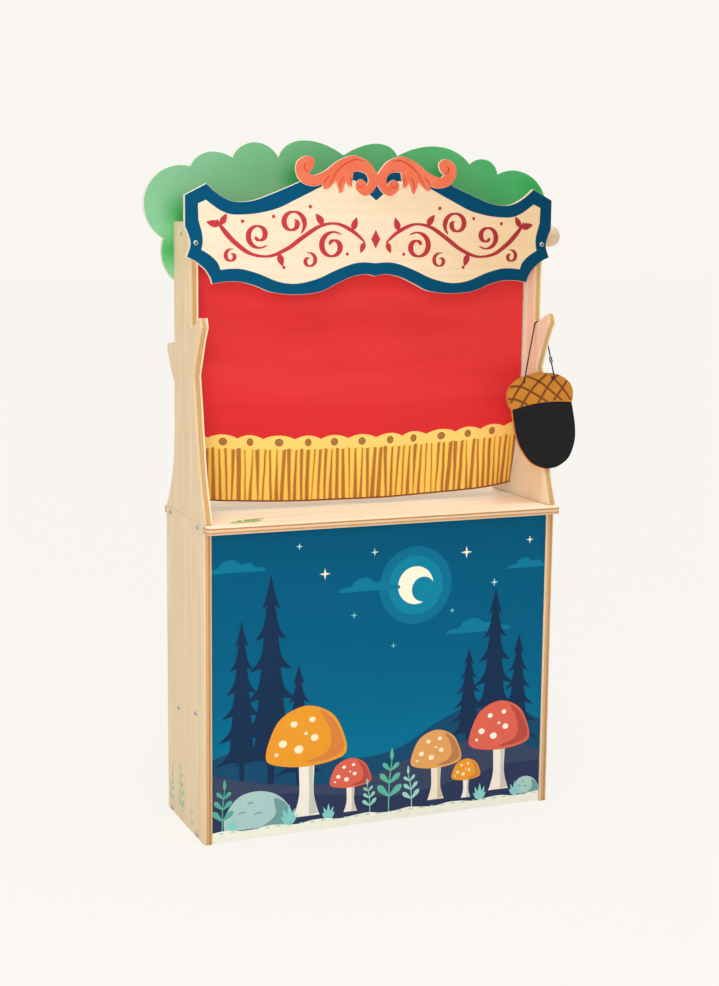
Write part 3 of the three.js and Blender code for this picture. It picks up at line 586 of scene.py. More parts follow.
def ring_stack(rings, place, sides):
    """Joins rings into one skin, closed at both ends by flat faces. A ring is its radius, its
    height and, where they differ, its own count of sides."""
    bm = bmesh.new()
    loops = []
    for index, (radius, height, *own) in enumerate(rings):
        made = bmesh.ops.create_circle(
            bm, cap_ends=index in (0, len(rings) - 1), segments=own[0] if own else sides,
            radius=radius * MM, matrix=place @ Matrix.Translation((0, 0, height * MM)))
        corners = made["verts"]
        loops.append({e for v in corners for e in v.link_edges
                      if e.verts[0] in corners and e.verts[1] in corners})
    for first, second in zip(loops, loops[1:]):
        bmesh.ops.bridge_loops(bm, edges=[*first, *second])
    bmesh.ops.recalc_face_normals(bm, faces=bm.faces)
    shade(bm)
    return bm


def round_line(name, points, radius, closed=False):
    """A round line of that radius in millimetres through points in metres."""
    data = bpy.data.curves.new(name, "CURVE")
    data.dimensions = "3D"
    data.bevel_depth = radius * MM
    data.bevel_resolution = 3
    data.use_fill_caps = not closed
    line = data.splines.new("POLY")
    line.points.add(len(points) - 1)
    line.use_cyclic_u = closed
    for point, place in zip(line.points, points):
        point.co = (*place, 1)
    return data


# Outlines, as lists of points on a flat surface

def spline(points, steps=6, closed=False):
    """A smooth curve through points, with that many steps between two of them."""
    count = len(points)
    curve = []
    for span in range(count if closed else count - 1):
        near = [points[i % count if closed else min(max(i, 0), count - 1)]
                for i in range(span - 1, span + 3)]
        for step in range(steps):
            t = step / steps
            curve.append(tuple(
                0.5 * (2 * b + (c - a) * t + (2 * a - 5 * b + 4 * c - d) * t * t
                       + (3 * b - a - 3 * c + d) * t ** 3)
                for a, b, c, d in zip(*near)
            ))
    if not closed:
        curve.append(tuple(points[-1]))
    return curve


def swelled(points, across, up, steps=6, closed=False):
    """A smooth curve through points that are given as shares of a width and a height."""
    return [(a * across, b * up) for a, b in spline(points, steps, closed)]


def legs_outline(legs):
    """An outline from legs that meet at corners. Two points are a straight edge, and more
    are one smooth curve."""
    outline = []
    for leg in legs:
        outline += (spline(leg) if len(leg) > 2 else leg)[:-1]
    return outline


def mirrored(points):
    return [(-x, z) for x, z in reversed(points)]


def moved(points, x=0, z=0, turn=0.0, flip=False):
    """Points turned and set down at a place, or mirrored about it."""
    cos, sin = math.cos(turn), math.sin(turn)
    side = -1 if flip else 1
    return [(x + side * (a * cos - b * sin), z + a * sin + b * cos) for a, b in points]


def ribbon(points, steps, half_at):
    """A ribbon along a curve. Half its width comes from the share of its length and its way."""
    line = [Vector(p) for p in spline(points, steps)]
    count = len(line) - 1
    left, right = [], []
    for i, place in enumerate(line):
        along = (line[min(i + 1, count)] - line[max(i - 1, 0)]).normalized()
        across = Vector((-along.y, along.x)) * half_at(i / count, along)
        left.append(tuple(place + across))
        right.append(tuple(place - across))
    return left + right[::-1]


def stroke(points, width, start=0.0, end=0.0):
    """A brush stroke along a curve. Start and end are its width there as shares of the full
    width, and it swells smoothly between them."""
    def half_at(share, along):
        least = start * (1 - share) + end * share
        swell = math.sin(math.pi * share) ** 0.7
        return width / 2 * (least + (1 - least) * swell) + 0.05
    return ribbon(points, 8, half_at)


def brushed(points, width):
    """A stroke of a pointed brush: full where it runs up or down, and thin where it runs level."""
    def half_at(share, along):
        press = 0.34 + 0.66 * abs(along.y) ** 1.3
        ends = min(1, 8 * share, 8 * (1 - share)) ** 0.6
        return width / 2 * press * ends + 0.3
    return ribbon(points, 10, half_at)


def ellipse(x, z, half_width, half_height, turn=0.0, count=28):
    angles = [2 * math.pi * i / count for i in range(count)]
    round_points = [(half_width * math.cos(a), half_height * math.sin(a)) for a in angles]
    return moved(round_points, x, z, turn)


def circle(x, z, radius, count=24):
    return ellipse(x, z, radius, radius, count=count)


def leaf(x, z, length, width, turn):
    """A pointed leaf that grows from its place in the direction of its turn."""
    half = [(0, 0), (0.3 * length, width / 2), (0.65 * length, width * 0.42), (length, 0)]
    upper = spline(half, 6)
    lower = [(a, -b) for a, b in reversed(upper[1:-1])]
    return moved(upper + lower, x, z, turn)


# Printed and painted films

class Print:
    """Shapes of ink on one flat surface. Place turns a point of the surface, and how far it
    stands off in millimetres, into a point in metres."""

    def __init__(self, place):
        self.bm = bmesh.new()
        self.ink = self.bm.faces.layers.float_color.new("ink")
        self.place = place
        self.laid = 0

    def lay(self, hex_colour, *loops, level=0):
        """Lays one shape, with any further loops as holes in it, on a level of ink."""
        bm = self.bm
        off = (level + 1) * FILM_STEP + (self.laid % 5) * FILM_STEP / 8
        self.laid += 1
        edges = []
        for loop in loops:
            corners = [bm.verts.new(self.place(a, b, off)) for a, b in loop]
            for first, second in zip(corners, corners[1:] + corners[:1]):
                edges.append(bm.edges.new((first, second)))
        filled = bmesh.ops.triangle_fill(bm, use_beauty=True, edges=edges)["geom"]
        faces = [g for g in filled if isinstance(g, bmesh.types.BMFace)]
        raised = bmesh.ops.extrude_face_region(bm, geom=faces)["geom"]
        tops = [g for g in raised if isinstance(g, bmesh.types.BMVert)]
        lift = Vector(self.place(0, 0, off + FILM)) - Vector(self.place(0, 0, off))
        bmesh.ops.translate(bm, vec=lift, verts=tops)
        shell = set(faces).union(*[vert.link_faces for vert in tops])
        shell = [face for face in shell if face.is_valid]
        bmesh.ops.recalc_face_normals(bm, faces=shell)
        for face in shell:
            face[self.ink] = linear(hex_colour)

    def settle(self, name, body, slot, finish="ink"):
        return settle(self.bm, name, body, slot, finish)


# Floor, light and background

BACKGROUND = "#F9F6F1"
FLOOR_SHADE_SHARE = 0.1
FLOOR_GLOW = 0.986
WORLD_LIGHT = 0.1
# Softbox beside the camera: its place, what it points at, its size and its power
SOFTBOX_PLACE = (-1.3, -2.5, 1.75)
SOFTBOX_TARGET = (0, 0, 0.7)
SOFTBOX_SIZE = 1.8
SOFTBOX_POWER = 39
# Distant lamps: the way that each shines, its strength and its softness in degrees
TOP_LAMP = ((0.0, 0.1, -1.0), 2.9, 60)
LEFT_LAMP = ((1.0, 0.3, -0.4), 0.15, 60)
FLOOR_HALF = 30
FLOOR_DROP = 0.1


def seen_share(tree):
    """One for what the camera sees, itself or in gloss or glass, and zero for light."""
    path = add(tree, "LightPath").outputs
    share = path["Is Camera Ray"]
    for way in ("Is Glossy Ray", "Is Transmission Ray"):
        share = add(tree, "Math", [share, path[way]], operation="MAXIMUM")
    return share


def make_world():
    """Plain white light all round, and the photograph's warm white for camera, gloss and glass."""
    world = bpy.data.worlds.new("studio")
    bpy.context.scene.world = world
    world.use_nodes = True
    tree = world.node_tree
    tree.nodes.clear()
    light = add(tree, "Background", {"Color": "#FFFFFF", "Strength": WORLD_LIGHT})
    shown = add(tree, "Background", {"Color": BACKGROUND, "Strength": 1})
    mix = add(tree, "MixShader", [seen_share(tree), light, shown])
    add(tree, "OutputWorld", {"Surface": mix})


def set_up_lamp(name, kind, energy, aim, place=(0, 0, 3)):
    data = bpy.data.lights.new(name, kind)
    data.energy = energy
    lamp = bpy.data.objects.new(name, data)
    lamp.location = place
    lamp.rotation_mode = "QUATERNION"
    lamp.rotation_quaternion = Vector(aim).to_track_quat("-Z", "Y")
    bpy.context.scene.collection.objects.link(lamp)
    return data


def make_lamps():
    aim = Vector(SOFTBOX_TARGET) - Vector(SOFTBOX_PLACE)
    softbox = set_up_lamp("softbox", "AREA", SOFTBOX_POWER, aim, SOFTBOX_PLACE)
    softbox.size = SOFTBOX_SIZE
    for name, (aim, strength, softness) in (("top_lamp", TOP_LAMP), ("left_lamp", LEFT_LAMP)):
        set_up_lamp(name, "SUN", strength, aim).angle = math.radians(softness)


def make_floor():
    """A plain pale floor that melts into the background and keeps part of the shadow."""
    bm = bmesh.new()
    bmesh.ops.create_grid(bm, x_segments=1, y_segments=1, size=FLOOR_HALF)
    bmesh.ops.translate(bm, vec=(0, 0, -FLOOR_DROP * MM), verts=bm.verts)
    mesh = bpy.data.meshes.new("floor")
    bm.to_mesh(mesh)
    bm.free()
    floor = bpy.data.objects.new("floor", mesh)
    bpy.context.scene.collection.objects.link(floor)
    material, tree = new_material("studio_floor")
    share = add(tree, "Math", [seen_share(tree), 1 - FLOOR_SHADE_SHARE], operation="MULTIPLY")
    paint = add(tree, "BsdfDiffuse", {"Color": BACKGROUND})
    glow = add(tree, "Emission", {"Color": BACKGROUND, "Strength": FLOOR_GLOW})
    mix = add(tree, "MixShader", [share, paint, glow])
    add(tree, "OutputMaterial", {"Surface": mix})
    mesh.materials.append(material)


# Chalkboard's place: it hangs from the notch, and leans until it rests on the post
ACORN_THICKNESS = 6
ACORN_HEIGHT = 185
ACORN_SIDEWAYS = 1.5
ACORN_ROLL = math.radians(5)
ACORN_DROP = 96
ACORN_HOLE_SPACING = 64
ACORN_HOLE_INSET = 15
CORD_RADIUS = 1.25
CORD_BEND = 5
KNOT_RADIUS = 2.3
KNOT_STEPS = 48
SEAT = 0.3
POST_CENTRE = 342.5

notch = Vector((0, *joints["chalkboard_swing"]["pos_m"][1:]))


def acorn_lean():
    """How far the chalkboard's top leans back, from the way that its front faces."""
    facing = sum((p.normal * p.area for p in nodes["acorn_board"].data.polygons
                  if p.normal.y < -0.9), Vector())
    return math.atan2(facing.z, -facing.y)


ACORN_LEAN = acorn_lean()
hanger_turn = Matrix.Rotation(-ACORN_LEAN, 3, "X")


def hanger_point(x, y, z):
    """A point of the hanging chalkboard, in millimetres from the notch, as one in metres."""
    return notch + hanger_turn @ (Vector((x, y, z)) * MM)


def acorn_back():
    """How far the board's back stands behind the notch, across the leaning board."""
    unturned = hanger_turn.transposed()
    return max((unturned @ (v.co - notch)).y for v in nodes["acorn_board"].data.vertices) / MM


def acorn_spot(a, b):
    """A point across and up from the chalkboard's middle, as across and up from the notch."""
    sin, cos = math.sin(ACORN_ROLL), math.cos(ACORN_ROLL)
    return (POST_CENTRE - ACORN_SIDEWAYS + a * cos - b * sin,
            a * sin + b * cos - ACORN_DROP - ACORN_HEIGHT / 2)


def acorn_place(a, b, off):
    """A point on the chalkboard's front: across and up from its middle, in millimetres."""
    x, z = acorn_spot(a, b)
    return hanger_point(x, acorn_back() - ACORN_THICKNESS - off, z)


def strand_points(side):
    """One side of the cord's loop: over the post's edge, down to the board, back through its
    hole, and to the knot behind it."""
    corner = (CORD_BEND - CORD_RADIUS - SEAT) * math.sqrt(0.5)
    over_x = POST_CENTRE + side * (PLY / 2 - corner)
    back = acorn_back()
    x, z = acorn_spot(side * ACORN_HOLE_SPACING / 2, ACORN_HEIGHT / 2 - ACORN_HOLE_INSET)
    over, through = [], []
    for angle in map(math.radians, (0, 25, 50, 75)):
        over.append(Vector((over_x + side * CORD_BEND * math.sin(angle), 0,
                            CORD_BEND * (math.cos(angle) - 1))))
    for angle in map(math.radians, (0, 30, 60, 90)):
        through.append(Vector((x, back - ACORN_THICKNESS - CORD_BEND * math.cos(angle),
                               z + CORD_BEND * (1 - math.sin(angle)))))
    between = [over[3].lerp(through[0], share) for share in (0.05, 0.16, 0.42, 0.7, 0.88, 0.96)]
    return [*over, *between, *through, Vector((x, back + KNOT_RADIUS, z))]


def make_cord():
    """The cord: one length from knot to knot, over the notch in the branch."""
    points = [*strand_points(-1)[::-1], *strand_points(1)]
    route = [hanger_point(*p) for p in spline(points)]
    data = round_line("chalkboard_cord", route, CORD_RADIUS)
    cord = settle(data, "chalkboard_cord", "chalkboard", "black_cord", "cord",
                  replaces=["cord_saddle", "cord_strand_left", "cord_strand_right"])
    knots = [make_knot("left", -1), make_knot("right", 1)]
    make_sleeve()


def make_knot(word, side):
    """An overhand knot behind the board: a trefoil pulled small."""
    x, y, z = strand_points(side)[-1]
    places = []
    for i in range(KNOT_STEPS):
        t = 2 * math.pi * i / KNOT_STEPS
        across = (math.sin(t) + 2 * math.sin(2 * t)) / 3 * KNOT_RADIUS
        up = (math.cos(t) - 2 * math.cos(2 * t)) / 3 * KNOT_RADIUS
        out = KNOT_RADIUS * (0.5 * (1.6 - math.sin(3 * t)) - 0.3)
        places.append(hanger_point(x + across, y + out, z + up))
    name = f"cord_knot_{word}"
    data = round_line(name, places, CORD_RADIUS * 0.8, closed=True)
    return settle(data, name, "chalkboard", "black_cord", "cord")


# Sleeve's rings from its middle to its end, as radius and height
SLEEVE_RINGS = [(3.0, 2.6), (3.8, 3.2), (3.8, 4.6), (3.2, 5.2), (1.7, 5.5)]


def make_sleeve():
    """A nylon sleeve clamped round the cord's right strand, with a rounded lip at each end."""
    low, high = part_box("cord_sleeve")
    middle = (low + high) / 2
    points = [hanger_point(*p) for p in spline(strand_points(1))]
    nearest = min(range(1, len(points) - 1), key=lambda i: (points[i] - middle).length)
    along = (points[nearest + 1] - points[nearest - 1]).normalized()
    turn = Vector((0, 0, 1)).rotation_difference(along).to_matrix().to_4x4()
    rings = [(radius, -height) for radius, height in SLEEVE_RINGS[::-1]] + SLEEVE_RINGS
    bm = ring_stack(rings, Matrix.Translation(middle) @ turn, 20)
    return settle(bm, "cord_sleeve_crimped", "chalkboard", "grey_sleeve", "nylon",
                  replaces=["cord_sleeve"])


# How far right of its middle the painted shade on the name board's veneer and ink is deepest
SIGN_SHADE_REACH = 370


def middle_of(node):
    low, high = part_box(node)
    return (low + high) / 2


def make_materials():
    """Every finish, by the name that the pieces call it by. Boards with one finish take it from
    different places, so that no two share a figure."""
    side = POST_CENTRE * MM
    return {
        "left_ply": plywood("birch_plywood_left", (-side, 0.31, 0.2), UPRIGHT_SIDEWAYS),
        "right_ply": plywood("birch_plywood_right", (side, -0.17, 0.6), UPRIGHT_SIDEWAYS),
        "left_post_ply": plywood("birch_plywood_left_post", (-side, 0.05, 0.9),
                                 UPRIGHT_SIDEWAYS, plies=POST_PLIES),
        # Painted light: the right post takes the lighter birch
        "right_post_ply": plywood("birch_plywood_right_post", (side, 0.45, 0.1),
                                  UPRIGHT_SIDEWAYS, face=LIT_BIRCH, plies=POST_PLIES),
        "bottom_ply": plywood("birch_plywood_bottom", middle_of("bottom_board"), LYING),
        "shelf_ply": plywood("birch_plywood_shelf", middle_of("sloped_shelf"),
                             (-SHELF_SLOPE, 0, 0)),
        # Painted light: the counter takes the lighter birch
        "counter_ply": plywood("birch_plywood_counter", middle_of("counter_top"), LYING,
                               face=LIT_BIRCH, plies=COUNTER_PLIES, roughness=0.42),
        # Painted shade towards the name board's right end, and painted highlight on its cut edges
        "sign_ply": facing_board("birch_plywood_sign", "sign_board", face=SIGN_BIRCH,
                                 plies=HIGHLIT_PLIES, tint=("#F3E3C8", SIGN_SHADE_REACH)),
        # Painted highlight on the cut edges of the crest and the foliage board
        "coral_paint": facing_board("coral_painted_plywood", "scroll_crest",
                                    plies=HIGHLIT_PLIES, paint=coral_paint, gloss=0.15),
        "leaf_paint": facing_board("leaf_painted_plywood", "foliage_board",
                                   plies=HIGHLIT_PLIES, paint=leaf_paint, gloss=0.15),
        "sky_print": facing_board("printed_panel", "front_panel", paint=night_sky, gloss=0.06),
        "ink": printed_ink("screen_ink", 0.5, 0.02),
        # Painted shade: the name board's ink darkens towards its right end
        "sign_ink": printed_ink("brushed_enamel", 0.45, 0.05, ("#D2D2D0", SIGN_SHADE_REACH)),
        "beech": turned_beech("turned_beech"),
        "knob_beech": turned_beech("turned_beech_knob", middle_of("roller_knob")),
        "cloth": curtain_cloth(),
        "chalkboard": chalkboard_paint(acorn_place(0, 0, -ACORN_THICKNESS / 2),
                                       (-math.pi / 2 - ACORN_LEAN, 0, 0)),
        # Waxed braided cord: black, with its strands crossing every 2 mm
        "cord": flecked("waxed_braid", 2, 2, [(0.35, "#0B0A0A"), (0.65, "#191716")],
                        0.75, 0.15, Specular_IOR_Level=0.2),
        # Moulded nylon, mid grey, with a fine spark-eroded texture
        "nylon": flecked("moulded_nylon", 0.4, 2, [(0.3, "#676C70"), (0.7, "#7B8084")],
                         0.45, 0.03),
        # Zinc-plated steel: bright, slightly blue, with soft blotches from the plating bath
        "zinc": flecked("zinc_plate", 2.5, 3, [(0.3, "#8D979F"), (0.7, "#B4BCC2")],
                        (0.22, 0.42), 0.02, Metallic=1),
        # Painted shade: dark steel colour in a screw's recess, standing in for the shade inside it
        "recess": flecked("shaded_recess_steel", 1.2, 3, [(0.35, "#2E3338"), (0.65, "#4E555C")],
                          0.5, 0.03, Metallic=0.6),
    }


# Boards: node, slot, finish, the way of the thickness and the arris in millimetres
SIDEWAYS, UPWARDS, FORWARDS = (1, 0, 0), (0, 0, 1), (0, 1, 0)
BOARDS = [
    ("side_panel_left", "birch_plywood", "left_ply", SIDEWAYS, 0.5),
    ("side_panel_right", "birch_plywood", "right_ply", SIDEWAYS, 0.5),
    ("post_left", "birch_plywood", "left_post_ply", SIDEWAYS, 0.5),
    ("post_right", "birch_plywood", "right_post_ply", SIDEWAYS, 0.5),
    ("bottom_board", "birch_plywood", "bottom_ply", UPWARDS, 0.4),
    ("sloped_shelf", "birch_plywood", "shelf_ply",
     (0, math.sin(SHELF_SLOPE), math.cos(SHELF_SLOPE)), 0.4),
    ("counter_top", "counter_plywood", "counter_ply", UPWARDS, 0.3),
    ("front_panel", "printed_panel", "sky_print", FORWARDS, 0.3),
    ("sign_board", "sign_paint", "sign_ply", FORWARDS, 0.4),
    ("scroll_crest", "coral_paint", "coral_paint", FORWARDS, 0.6),
    ("foliage_board", "leaf_paint", "leaf_paint", FORWARDS, 0.5),
    ("acorn_board", "chalkboard_paint", "chalkboard",
     (0, math.cos(ACORN_LEAN), -math.sin(ACORN_LEAN)), 0.4, "chalkboard"),
]


# Curtain and roller

# Dowel, its pin's bore, its spindle and knob, and the cloth wound on it and hung from it
ROLLER_RADIUS = 11
ROLLER_ARRIS = 0.6
ROLLER_END_PLAY = 1.2
SPINDLE_RADIUS = 6
PIN_BORE = 2.1
PIN_DEPTH = 24
CABINET_HALF = 350
KNOB_NECK = 23
KNOB_RADIUS = 20.5
KNOB_FACE_RADIUS = 9
KNOB_BORE = 14
KNOB_EASE = 0.4
# The ball's rings, from just past its flat face to close round its pole, in radians
KNOB_STEPS = 24
KNOB_FACE_GAP = 0.02
KNOB_POLE = 0.04
WOUND_CLOTH = 1.2
CLOTH = 0.5
HANG_ROOM = 0.45
HEM_CLEARANCE = 10
HEM_BOW = 14
CREASE_DEPTH = 0.8
CREASE_PITCH = 46
WAVE_DEPTH = 2
WAVE_PITCH = 190
LOWER_FOLD = 792
LOWER_SETBACK = 15
CORNER_CURL = 22
CORNER_CURL_WIDTH = 75
CORNER_CURL_HEIGHT = 190
COUNTER_HEIGHT = 590
# Ripples: how deep, how long across and how long up. Grids that the cloth is bent from.
LEVEL_RIPPLE = (0.7, 150, 17)
UPRIGHT_RIPPLE = (0.9, 34, 150)
CURTAIN_GRID = (166, 124)
WOUND_GRID = (24, 130)
# Wound cloth: its turns, the room between them, and its outer end above the hem when flat
WOUND_TURNS = 1.9
WOUND_PLAY = 0.05
WOUND_RIPPLE = 0.08
WOUND_START = 493
WOUND_RADIUS = ROLLER_RADIUS + SEAT + WOUND_CLOTH - CLOTH / 2
TURN_SIDES = 64

roller_place = Vector(joints["roller_turn"]["pos_m"]) / MM
cloth_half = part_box("curtain")[1].x / MM
along_roller = Matrix.Rotation(math.pi / 2, 4, "Y")

# Folds that the roller pressed into the cloth: how far they take to fade out at their ends, how
# wide they are from the middle, and each one's height, slope, from and to across, and depth
FOLD_FADE = 40
FOLD_HALF = 4.5
FOLD_LINES = [
    (1006, 0.004, -330, 330, 0.5), (928, -0.006, -330, 330, 0.9), (884, 0.008, -330, 40, 0.7),
    (862, 0.02, 60, 330, 0.8), (832, -0.01, -120, 330, 0.6), (786, 0.03, -330, -90, 1.3),
    (794, 0.0, -110, 60, 1.0), (778, 0.012, 190, 330, 1.0),
]


def fold_depth(x, z):
    """How far the pressed folds push the cloth at a place."""
    depth = 0
    for height, slope, start, end, deep in FOLD_LINES:
        inside = min(x - start, end - x) / FOLD_FADE
        if inside > 0:
            away = (z - height - slope * x) / FOLD_HALF
            depth += deep * min(inside, 1) * math.exp(-away * away)
    return depth


def curtain_point(across, up):
    """A point of the hanging cloth, from -1 to 1 across and from the hem at -1 to the roller at
    1, and how far above the hem it is."""
    down = (1 - up) / 2
    x = across * cloth_half
    hem = COUNTER_HEIGHT + HEM_CLEARANCE + HEM_BOW * across * across
    z = roller_place.z + down * (hem - roller_place.z)
    hang = roller_place.y - ROLLER_RADIUS - 2 * SEAT - WOUND_CLOTH - HANG_ROOM
    fall = roller_place.z - z
    slack = min(fall / CREASE_PITCH, 1)
    crease = CREASE_DEPTH * math.sin(math.pi * fall / CREASE_PITCH) ** 2
    wave = WAVE_DEPTH * down * math.sin(2 * math.pi * x / WAVE_PITCH)
    near_edge = max(0, 1 - (cloth_half - abs(x)) / CORNER_CURL_WIDTH)
    near_hem = max(0, 1 - (z - hem) / CORNER_CURL_HEIGHT)
    curl = CORNER_CURL * near_edge ** 2 * near_hem ** 1.5
    deep, wide, high = LEVEL_RIPPLE
    ripple = deep * noise.noise(Vector((x / wide, z / high, 0)))
    deep, wide, high = UPRIGHT_RIPPLE
    ripple += deep * down * noise.noise(Vector((x / wide, z / high, 5)))
    turned_back = LOWER_SETBACK * max(0, LOWER_FOLD - z) / (LOWER_FOLD - COUNTER_HEIGHT)
    y = hang - slack * (crease * 0.55 + wave - ripple) + curl + slack * fold_depth(x, z)
    return Vector((x, y + turned_back, z)), z - hem


def wound_point(across, up):
    """A point of the cloth on the dowel, from -1 to 1 across and from the outer end at -1 to the
    inner end at 1, and how far above the hem it is on the flat cloth."""
    wound = (up + 1) / 2 * WOUND_TURNS
    uneven = WOUND_RIPPLE * noise.noise(Vector((across * 4, wound, 2)))
    radius = WOUND_RADIUS - wound * (CLOTH + WOUND_PLAY) + uneven
    angle = 2 * math.pi * wound
    place = Vector((across * cloth_half, roller_place.y - radius * math.cos(angle),
                    roller_place.z + radius * math.sin(angle)))
    return place, WOUND_START + angle * radius


def make_cloth(name, body, grid, point_at, node):
    """Cloth bent from a flat grid of columns and rows, with its UV map on the flat cloth."""
    columns, rows = grid
    bm = bmesh.new()
    bmesh.ops.create_grid(bm, x_segments=columns, y_segments=rows, size=1)
    uv = bm.loops.layers.uv.new("cloth")
    flat = {}
    for vert in bm.verts:
        across = vert.co.x
        place, above = point_at(across, vert.co.y)
        flat[vert] = (across * cloth_half * MM, above * MM)
        vert.co = place * MM
    for face in bm.faces:
        face.smooth = True
        for loop in face.loops:
            loop[uv].uv = flat[loop.vert]
    cloth = settle(bm, name, body, "red_cloth", "cloth", replaces=[node])
    thick = cloth.modifiers.new("cloth_thickness", "SOLIDIFY")
    thick.thickness = CLOTH * MM
    thick.offset = 0
    return cloth


def make_curtain():
    """The hanging cloth, with a mesh of its own."""
    curtain = make_cloth("curtain_cloth", "stand", CURTAIN_GRID, curtain_point, "curtain")
    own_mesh(curtain)


def make_wound_cloth():
    """The cloth that stays wound on the dowel: nearly two turns of a spiral."""
    wound = make_cloth("curtain_wound", "roller", WOUND_GRID, wound_point, "curtain_roll")


def make_roller():
    """The dowel, with a bore for its pin and a spindle that carries the knob."""
    end = POST_CENTRE - PLY / 2 - ROLLER_END_PLAY
    spindle_end = CABINET_HALF + KNOB_NECK + KNOB_BORE - SEAT
    eased = ROLLER_RADIUS - ROLLER_ARRIS
    rings = [
        (PIN_BORE, PIN_DEPTH - end), (PIN_BORE, -end), (eased, -end),
        (ROLLER_RADIUS, ROLLER_ARRIS - end), (ROLLER_RADIUS, end - ROLLER_ARRIS), (eased, end),
        (SPINDLE_RADIUS, end), (SPINDLE_RADIUS, spindle_end - ARRIS),
        (SPINDLE_RADIUS - ARRIS, spindle_end),
    ]
    bm = ring_stack(rings, Matrix.Translation(roller_place * MM) @ along_roller, TURN_SIDES)
    settle(bm, "roller_rod", "roller", "turned_wood", "beech", replaces=["roller_dowel"])


def make_knob():
    """A ball knob with a flat face and a blind bore for the spindle."""
    centre = math.sqrt(KNOB_RADIUS ** 2 - KNOB_FACE_RADIUS ** 2)
    bore = SPINDLE_RADIUS + SEAT
    rings = [(bore, KNOB_BORE), (bore, KNOB_EASE), (bore + KNOB_EASE, 0),
             (KNOB_FACE_RADIUS - KNOB_EASE, 0)]
    start = math.acos(-centre / KNOB_RADIUS) - KNOB_FACE_GAP
    for step in range(KNOB_STEPS + 1):
        angle = start + (KNOB_POLE - start) * step / KNOB_STEPS
        rings.append((KNOB_RADIUS * math.sin(angle), centre + KNOB_RADIUS * math.cos(angle)))
    neck = Vector((CABINET_HALF + KNOB_NECK, roller_place.y, roller_place.z)) * MM
    bm = ring_stack(rings, Matrix.Translation(neck) @ along_roller, TURN_SIDES)
    settle(bm, "roller_ball_knob", "roller", "turned_wood", "knob_beech",
           replaces=["roller_knob"])


# Screws

SCREW_SIDES = 24
SCREW_HEAD = 4.8
SCREW_POINT = 0.4
# Rings of the tapering tip: shares of the shank's radius, and heights above the point
TIP_RINGS = [(0.8, 2), (1, 5)]
# Dome: the share of the head's height that its rim takes, and of its radius that its top has
RIM_SHARE = 0.18
DOME_TOP = 0.55
DOME_STEPS = 6
# Recess for a hexagon key, in shares of the head's radius: its mouth, its lip with the depth
# in millimetres, and its floor with the depth as a share of the head's height
RECESS_MOUTH = 0.42
RECESS_LIP = (0.38, 0.2)
RECESS_FLOOR = (0.36, 0.75)
CABINET_SCREWS = ["counter_front", "counter_rear", "shelf_front", "shelf_rear", "bottom_front",
                  "bottom_rear"]


def make_screw(node, toward, shank, head_height):
    """A dome-headed screw with a hexagon recess, its tip and head where its node has them."""
    low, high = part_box(node)
    toward = Vector(toward)
    length = abs((high - low).dot(toward)) / MM
    middle = (low + high) / 2
    turn = Vector((0, 0, 1)).rotation_difference(toward).to_matrix().to_4x4()
    seat = length / 2 - head_height
    rings = [
        (SCREW_POINT, -length / 2),
        *[(shank * share, height - length / 2) for share, height in TIP_RINGS],
        (shank, seat), (SCREW_HEAD, seat), (SCREW_HEAD, seat + RIM_SHARE * head_height),
    ]
    for step in range(1, DOME_STEPS):
        angle = math.pi / 2 * step / DOME_STEPS
        rings.append((SCREW_HEAD * (DOME_TOP + (1 - DOME_TOP) * math.cos(angle)),
                      seat + head_height * (RIM_SHARE + (1 - RIM_SHARE) * math.sin(angle))))
    floor_share, floor_depth = RECESS_FLOOR
    for share, depth in ((RECESS_MOUTH, 0), RECESS_LIP, (floor_share, floor_depth * head_height)):
        rings.append((SCREW_HEAD * share, length / 2 - depth, 6))
    bm = ring_stack(rings, Matrix.Translation(middle) @ turn, SCREW_SIDES)
    for face in bm.faces:
        off = face.calc_center_median() - middle
        outward = off.dot(toward) / MM
        # Painted shade: the faces inside the recess take the dark steel
        if (off - toward * outward * MM).length < 0.4 * SCREW_HEAD * MM and outward > seat:
            face.material_index = 1
    settle(bm, node.replace("screw", "fixing"), "stand", "plated_steel", "zinc", "recess",
           replaces=[node])


def make_screws():
    for word, side in (("left", -1), ("right", 1)):
        for place in CABINET_SCREWS:
            make_screw(f"screw_{place}_{word}", (side, 0, 0), 3, 2.6)
        make_screw(f"screw_sign_{word}", (0, -1, 0), 2.4, 2.4)
        make_screw(f"screw_foliage_{word}", (0, 1, 0), 2.4, 2.4)


# Prints on the boards

def rim(piece, toward):
    """The outlines of a piece's flat face on that side, longest first, as points in metres."""
    bm = bmesh.new()
    bm.from_mesh(piece.data)
    flat = {face for face in bm.faces if face.normal.dot(Vector(toward)) > 0.9999}
    after = {}
    for face in flat:
        for loop in face.loops:
            if sum(f in flat for f in loop.edge.link_faces) == 1:
                after[loop.vert.index] = loop.link_loop_next.vert
    outlines = []
    while after:
        index = next(iter(after))
        outline = []
        while index in after:
            vert = after.pop(index)
            outline.append(vert.co.copy())
            index = vert.index
        outlines.append(outline)
    bm.free()
    return sorted(outlines, key=len, reverse=True)


SIGN_BLUE = "#004F72"
SIGN_RED = "#C23B41"
